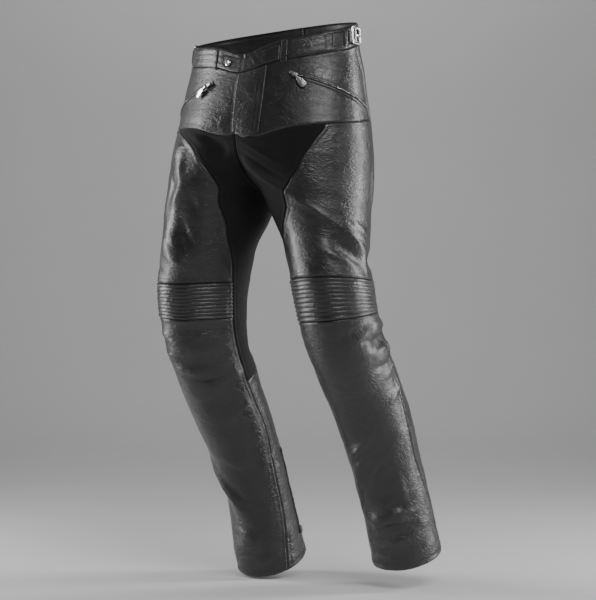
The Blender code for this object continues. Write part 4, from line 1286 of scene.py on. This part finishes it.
def make_laid(tree):
    """Fly piece, tab, loops, straps and welts."""
    made = []

    def add(name, place, size, wall, low=LAID_LOW):
        thing = laid(name + "_finish", tree, place, size, low, wall)
        dress(thing, TRIM_SKIN, name)
        made.append(name)

    def fly(u, v):
        around = -1.5 + 18.5 * u
        bottom = 0.206 - 0.015 * np.abs(u - 0.5) / 0.5
        top = level("band", 1, 90.0 + np.abs(around)) + 0.0015
        return beside_front(around, top + (bottom - top) * v)
    add("fly_placket", fly, (0.040, 0.150), 0.0016)

    reach, start, half, middle = -17.5, 25.0, 0.0145, 0.024

    def tab(u, v):
        around = start + (reach - start) * u
        near_end = np.clip((u - 0.84) / 0.16, 0.0, 1.0)
        tall = half * np.sqrt(np.maximum(0.12, 1.0 - near_end ** 2))
        return beside_front(around, waist_edge(90.0 + np.abs(around)) + middle + (2.0 * v - 1.0) * tall)
    add("waist_tab", tab, (0.110, 0.029), 0.0020)

    for word, side in (("left", 1), ("right", -1)):
        shift = ZIP_SHIFT[side]
        add(f"adjuster_strap_{word}", band_place(side, (154.0, 208.0), (0.008, 0.032)), (0.130, 0.024), 0.0020)
        add(f"pocket_welt_{word}", zip_place(side, ZIPS, shift, 0.0150), (0.190, 0.015), 0.0014)
        add(f"calf_welt_{word}", zip_place(side, CALF_ZIP, (0.0, 0.0), 0.0160), (0.200, 0.016), 0.0014)
    for name, side, turn in (("front_left", 1, 118.0), ("front_right", -1, 113.0), ("back_left", 1, 232.0),
                             ("back_right", -1, 232.0)):
        place = band_place(side, (turn - 2.2, turn + 2.2), (0.002, 0.046))
        add(f"belt_loop_{name}", place, (0.0095, 0.044), 0.0018, LOOP_LOW)

    def centre(u, v):
        around = 180.0 + (u - 0.5) * 7.0
        side = np.where(around <= 180.0, 1, -1)
        return side, 0.002 + 0.044 * v, 90.0 + np.where(side > 0, around, 360.0 - around)
    add("belt_loop_centre", centre, (0.0095, 0.044), 0.0018, LOOP_LOW)
    return made


def make_upper(tree):
    """What lies on other laid pieces: keepers on the straps and tapes on the welts."""
    for word, side in (("left", 1), ("right", -1)):
        keeper = band_place(side, (166.0, 169.5), (0.005, 0.035))
        pocket_tape = zip_place(side, ZIPS, ZIP_SHIFT[side], 0.0050)
        calf_tape = zip_place(side, CALF_ZIP, (0.0, 0.0), 0.0050)
        for stem, place, size, wall, skin, slot in (
                ("strap_keeper", keeper, (0.0085, 0.030), 0.0014, TRIM_SKIN, "leather_trim"),
                ("pocket_zip", pocket_tape, (0.190, 0.005), 0.0008, TAPE_SKIN, "zip_tape"),
                ("calf_zip", calf_tape, (0.200, 0.005), 0.0008, TAPE_SKIN, "zip_tape")):
            name = f"{stem}_{word}"
            thing = laid(name + "_finish", tree, place, size, LAID_LOW, wall, 0.0007)
            dress(thing, skin, name)


def make_hardware():
    """Sliders, pulls, buckles and the snap."""
    for word, side in (("left", 1), ("right", -1)):
        dress(pocket_slider(side, word), ZIP_METAL, f"pocket_slider_{word}")
        dress(pocket_pull(side, word), POLISHED, f"pocket_pull_{word}", f"pull_{word}")
        dress(calf_slider(side, word), ZIP_METAL, f"calf_slider_{word}")
        dress(buckle(side, word), POLISHED, f"buckle_{word}")
    dress(snap_button(), POLISHED, "snap_button")


TEETH_PITCH = 0.0022
TOOTH = (0.0011, 0.0013, 0.0009)


def make_teeth(tree):
    """Two rows of zip teeth on each tape."""
    for word, side in (("left", 1), ("right", -1)):
        for stem, route, shift, first, last in (("pocket", ZIPS, ZIP_SHIFT[side], 0.10, 0.995),
                                                ("calf", CALF_ZIP, (0.0, 0.0), 0.01, 0.90)):
            part = np.linspace(first, last, 160)
            turn, drop = route_place(route, shift, part)
            points, normals = on_cover(tree, side, drop, turn)
            rows = Repeated()
            left_frames = smooth_line(points, normals, TEETH_PITCH)
            right_frames = smooth_line(points[2:], normals[2:], TEETH_PITCH)
            rows.add(tooth_template(TOOTH, -0.0012), left_frames)
            rows.add(tooth_template((TOOTH[0], -TOOTH[1], TOOTH[2]), 0.0012), right_frames)
            thing = rows.finish(f"{stem}_teeth_{word}")
            thing.data.materials.append(ZIP_METAL)
            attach(thing, "root")


WAIST, BAND_ROW, YOKE_ROW, SEAT_ROW = (LEVEL_ROW[name] for name in ("waist", "band", "yoke", "seat"))
CALF_ROW, HEM_ROW = LEVEL_ROW["calf"], LEVEL_ROW["hem"]
FRONT_EDGE, SIDE_SEAM, BACK_EDGE = GROUP_COLUMN["front"], GROUP_COLUMN["rear"], GROUP_COLUMN["seat"]
# How far a seam's stitches lie from it
BESIDE_SEAM = 0.0030


def make_sewing(tree):
    """Topstitching along the seams, edges and hems."""
    for word, side in (("left", 1), ("right", -1)):
        band = Repeated()
        for down in (0.0030, 0.0068):
            sew(band, tree, side, across_line(side, WAIST, 0.6, LAST_COLUMN, down))
        sew(band, tree, side, across_line(side, BAND_ROW, 0.6, LAST_COLUMN, -0.0030))
        for below in (0.0145, 0.0250):
            turn = np.linspace(*{1: (121.0, 148.0), -1: (117.0, 150.0)}[side], 60)
            sew(band, tree, side, (waist_edge(turn) + below, turn))
        for turn in (149.5, 152.5):
            below = np.linspace(0.003, 0.037, 20)
            sew(band, tree, side, (waist_edge(turn) + below, turn + 60.0 * (0.04 - below)))
        finish_sewing(band, f"band_stitches_{word}")
        legs = Repeated()
        for down in (0.0030, 0.0085):
            sew(legs, tree, side, across_line(side, YOKE_ROW, FRONT_EDGE, SIDE_SEAM, down))
        sew(legs, tree, side, across_line(side, YOKE_ROW, 0, FRONT_EDGE, -BESIDE_SEAM))
        for seam, first, last, over in ((FRONT_EDGE, YOKE_ROW, RIB_TOP, BESIDE_SEAM),
                                        (FRONT_EDGE, RIB_BOTTOM, CALF_ROW, BESIDE_SEAM),
                                        (BACK_EDGE, SEAT_ROW, CALF_ROW, -BESIDE_SEAM),
                                        (SIDE_SEAM, BAND_ROW, HEM_ROW, BESIDE_SEAM),
                                        (SIDE_SEAM, YOKE_ROW, HEM_ROW, -BESIDE_SEAM),
                                        (LAST_COLUMN, BAND_ROW, SEAT_ROW, -BESIDE_SEAM)):
            sew(legs, tree, side, down_line(side, seam, first, last, over))
        for row, first, last, down in ((SEAT_ROW, BACK_EDGE, LAST_COLUMN, -BESIDE_SEAM),
                                       (CALF_ROW, 0, FRONT_EDGE, BESIDE_SEAM),
                                       (CALF_ROW, BACK_EDGE, LAST_COLUMN, BESIDE_SEAM)):
            sew(legs, tree, side, across_line(side, row, first, last, down))
        for row, down in ((RIB_TOP, -0.0030), (RIB_TOP, -0.0080), (RIB_BOTTOM, 0.0030)):
            sew(legs, tree, side, across_line(side, row, FRONT_EDGE, SIDE_SEAM, down))
        for down in (-0.0100, -0.0135):
            sew(legs, tree, side, across_line(side, HEM_ROW, 0, LAST_COLUMN, down))
        finish_sewing(legs, f"leg_stitches_{word}")
        trims = Repeated()
        along = np.linspace(0.02, 0.98, 80)
        for place, edge in ((zip_place(side, ZIPS, ZIP_SHIFT[side], 0.0150), 0.13),
                            (zip_place(side, CALF_ZIP, (0.0, 0.0), 0.0160), 0.12)):
            for v in (edge, 1.0 - edge):
                _, drop, turn = place(along, np.full(80, v))
                sew(trims, tree, side, (drop, turn), 0.0030)
        for heights in (0.0105, 0.0295):
            turn = np.linspace(155.0, 207.0, 60)
            sew(trims, tree, side, (waist_edge(turn) + heights, turn), 0.0030)
        for below in (0.004, 0.044):
            for middle in {1: (118.0, 232.0), -1: (113.0, 232.0)}[side]:
                turn = np.linspace(middle - 1.8, middle + 1.8, 8)
                sew(trims, tree, side, (waist_edge(turn) + below, turn), 0.0024)
        finish_sewing(trims, f"trim_stitches_{word}")


def make_front_sewing(tree):
    """Stitches on the fly piece and round the tab."""
    front = Repeated()
    lines = []
    for around in (0.8, 14.6, 12.0):
        drop = np.linspace(0.068, 0.192, 60)
        lines.append((np.full(60, around), drop))
    around = np.linspace(-0.5, 16.0, 30)
    lines.append((around, np.full(30, 0.0830)))
    lines.append((np.linspace(0.8, 7.75, 16), np.linspace(0.189, 0.201, 16)))
    lines.append((np.linspace(7.75, 14.6, 16), np.linspace(0.201, 0.189, 16)))
    for around, drop in lines:
        _, drop, turn = beside_front(around, drop)
        sew(front, tree, 1, (drop, turn))
    end_middle, reach, middle, half = -12.0, 4.6, 0.024, 0.0122
    for sign in (-1.0, 1.0):
        around = np.linspace(24.0, end_middle, 90)
        sew_across(front, tree, around, middle + sign * np.full(90, half))
    swing = np.radians(np.linspace(-90.0, 90.0, 24))
    sew_across(front, tree, end_middle - reach * np.cos(swing), middle + half * np.sin(swing))
    finish_sewing(front, "front_stitches")


def sew_across(sewing, tree, around, below):
    """Stitches on the band given by degrees from the centre front and heights below the edge."""
    side, drop, turn = beside_front(around, waist_edge(90.0 + np.abs(around)) + below)
    sew(sewing, tree, side, (drop, turn), 0.0030)


def finish_sewing(sewing, name):
    """One mesh of stitches, in thread."""
    thing = sewing.finish(name)
    thing.data.materials.append(THREAD_SKIN)
    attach(thing, "root")


make_shells()
laid_names = make_laid(cover_tree())
make_upper(cover_tree())
make_teeth(cover_tree())
whole_cover = cover_tree()
make_sewing(whole_cover)
make_front_sewing(whole_cover)
make_hardware()


# Studio
FLOOR = CAD_BOX[0][2] - 0.004
CAMERA_TURN = 33.0
CAMERA_AWAY, CAMERA_ASIDE, CAMERA_HEIGHT = 3.6, 0.045, -0.516
FOCUS_PIXELS, IMAGE_PIXELS = 1847.0, 600.0
RIGHT = Vector((math.cos(math.radians(CAMERA_TURN)), math.sin(math.radians(CAMERA_TURN)), 0.0))
TOWARDS = Vector((math.sin(math.radians(CAMERA_TURN)), -math.cos(math.radians(CAMERA_TURN)), 0.0))
# The backdrop's distance behind the trousers and the radius of its bend
BACKDROP, BEND = 5.4, 1.6


def studio():
    """A floor that curves up into a plain backdrop, which stands clear of a camera behind the trousers."""
    profile = [(-12.0, 0.0), (BACKDROP - BEND, 0.0)]
    for angle in range(6, 91, 6):
        swing = math.radians(angle)
        profile.append((BACKDROP - BEND + BEND * math.sin(swing), BEND - BEND * math.cos(swing)))
    profile += [(BACKDROP, 6.0)]
    shape = bmesh.new()
    rows = []
    for across in (-7.0, 7.0):
        rows.append([shape.verts.new(RIGHT * across - TOWARDS * away + Vector((0.0, 0.0, FLOOR + up)))
                     for away, up in profile])
    for k in range(len(profile) - 1):
        shape.faces.new((rows[0][k], rows[1][k], rows[1][k + 1], rows[0][k + 1]))
    mesh = bpy.data.meshes.new("studio_floor")
    shape.to_mesh(mesh)
    shape.free()
    mesh.shade_smooth()
    mesh.materials.append(floor_material())
    linked("studio_floor", mesh)


def lamp(name, right, towards, height, size, power, aim=(0.0, 0.0, -0.5)):
    """A soft area light, placed by the camera's own directions."""
    data = bpy.data.lights.new(name, "AREA")
    data.shape = "RECTANGLE"
    data.size, data.size_y = size
    data.energy = power
    thing = linked(name, data)
    place = RIGHT * right + TOWARDS * towards + Vector((0.0, 0.0, height))
    thing.location = place
    thing.rotation_euler = (Vector(aim) - place).to_track_quat("-Z", "Y").to_euler()


def lights():
    """Soft key in front and above, and a tall strip at each side."""
    lamp("key", 0.9, 2.6, 1.5, (1.6, 1.2), 60.0, (0.0, 0.0, -0.25))
    lamp("left_strip", -2.0, -0.5, -0.2, (0.5, 2.2), 55.0)
    lamp("right_strip", 2.1, -0.3, -0.2, (0.5, 2.2), 55.0)
    wash_aim = tuple(-TOWARDS * (BACKDROP - 0.2) + Vector((0.0, 0.0, -0.4)))
    lamp("backdrop_wash", 0.0, 1.9 - BACKDROP, 2.6, (3.0, 1.0), 45.0, wash_aim)
    world = bpy.data.worlds.new("studio_air")
    bpy.context.scene.world = world
    world.use_nodes = True
    world.node_tree.nodes["Background"].inputs["Color"].default_value = (0.50, 0.51, 0.53, 1.0)
    world.node_tree.nodes["Background"].inputs["Strength"].default_value = 0.22


def camera():
    """The photograph's view: level with the knees and 3.6 m away."""
    data = bpy.data.cameras.new("camera")
    data.sensor_fit = "VERTICAL"
    data.sensor_height = 36.0
    data.lens = data.sensor_height * FOCUS_PIXELS / IMAGE_PIXELS
    thing = linked("camera", data)
    thing.location = RIGHT * CAMERA_ASIDE + TOWARDS * CAMERA_AWAY + Vector((0.0, 0.0, CAMERA_HEIGHT))
    thing.rotation_euler = (math.radians(90.0), 0.0, math.radians(CAMERA_TURN))
    bpy.context.scene.camera = thing


studio()
lights()
camera()
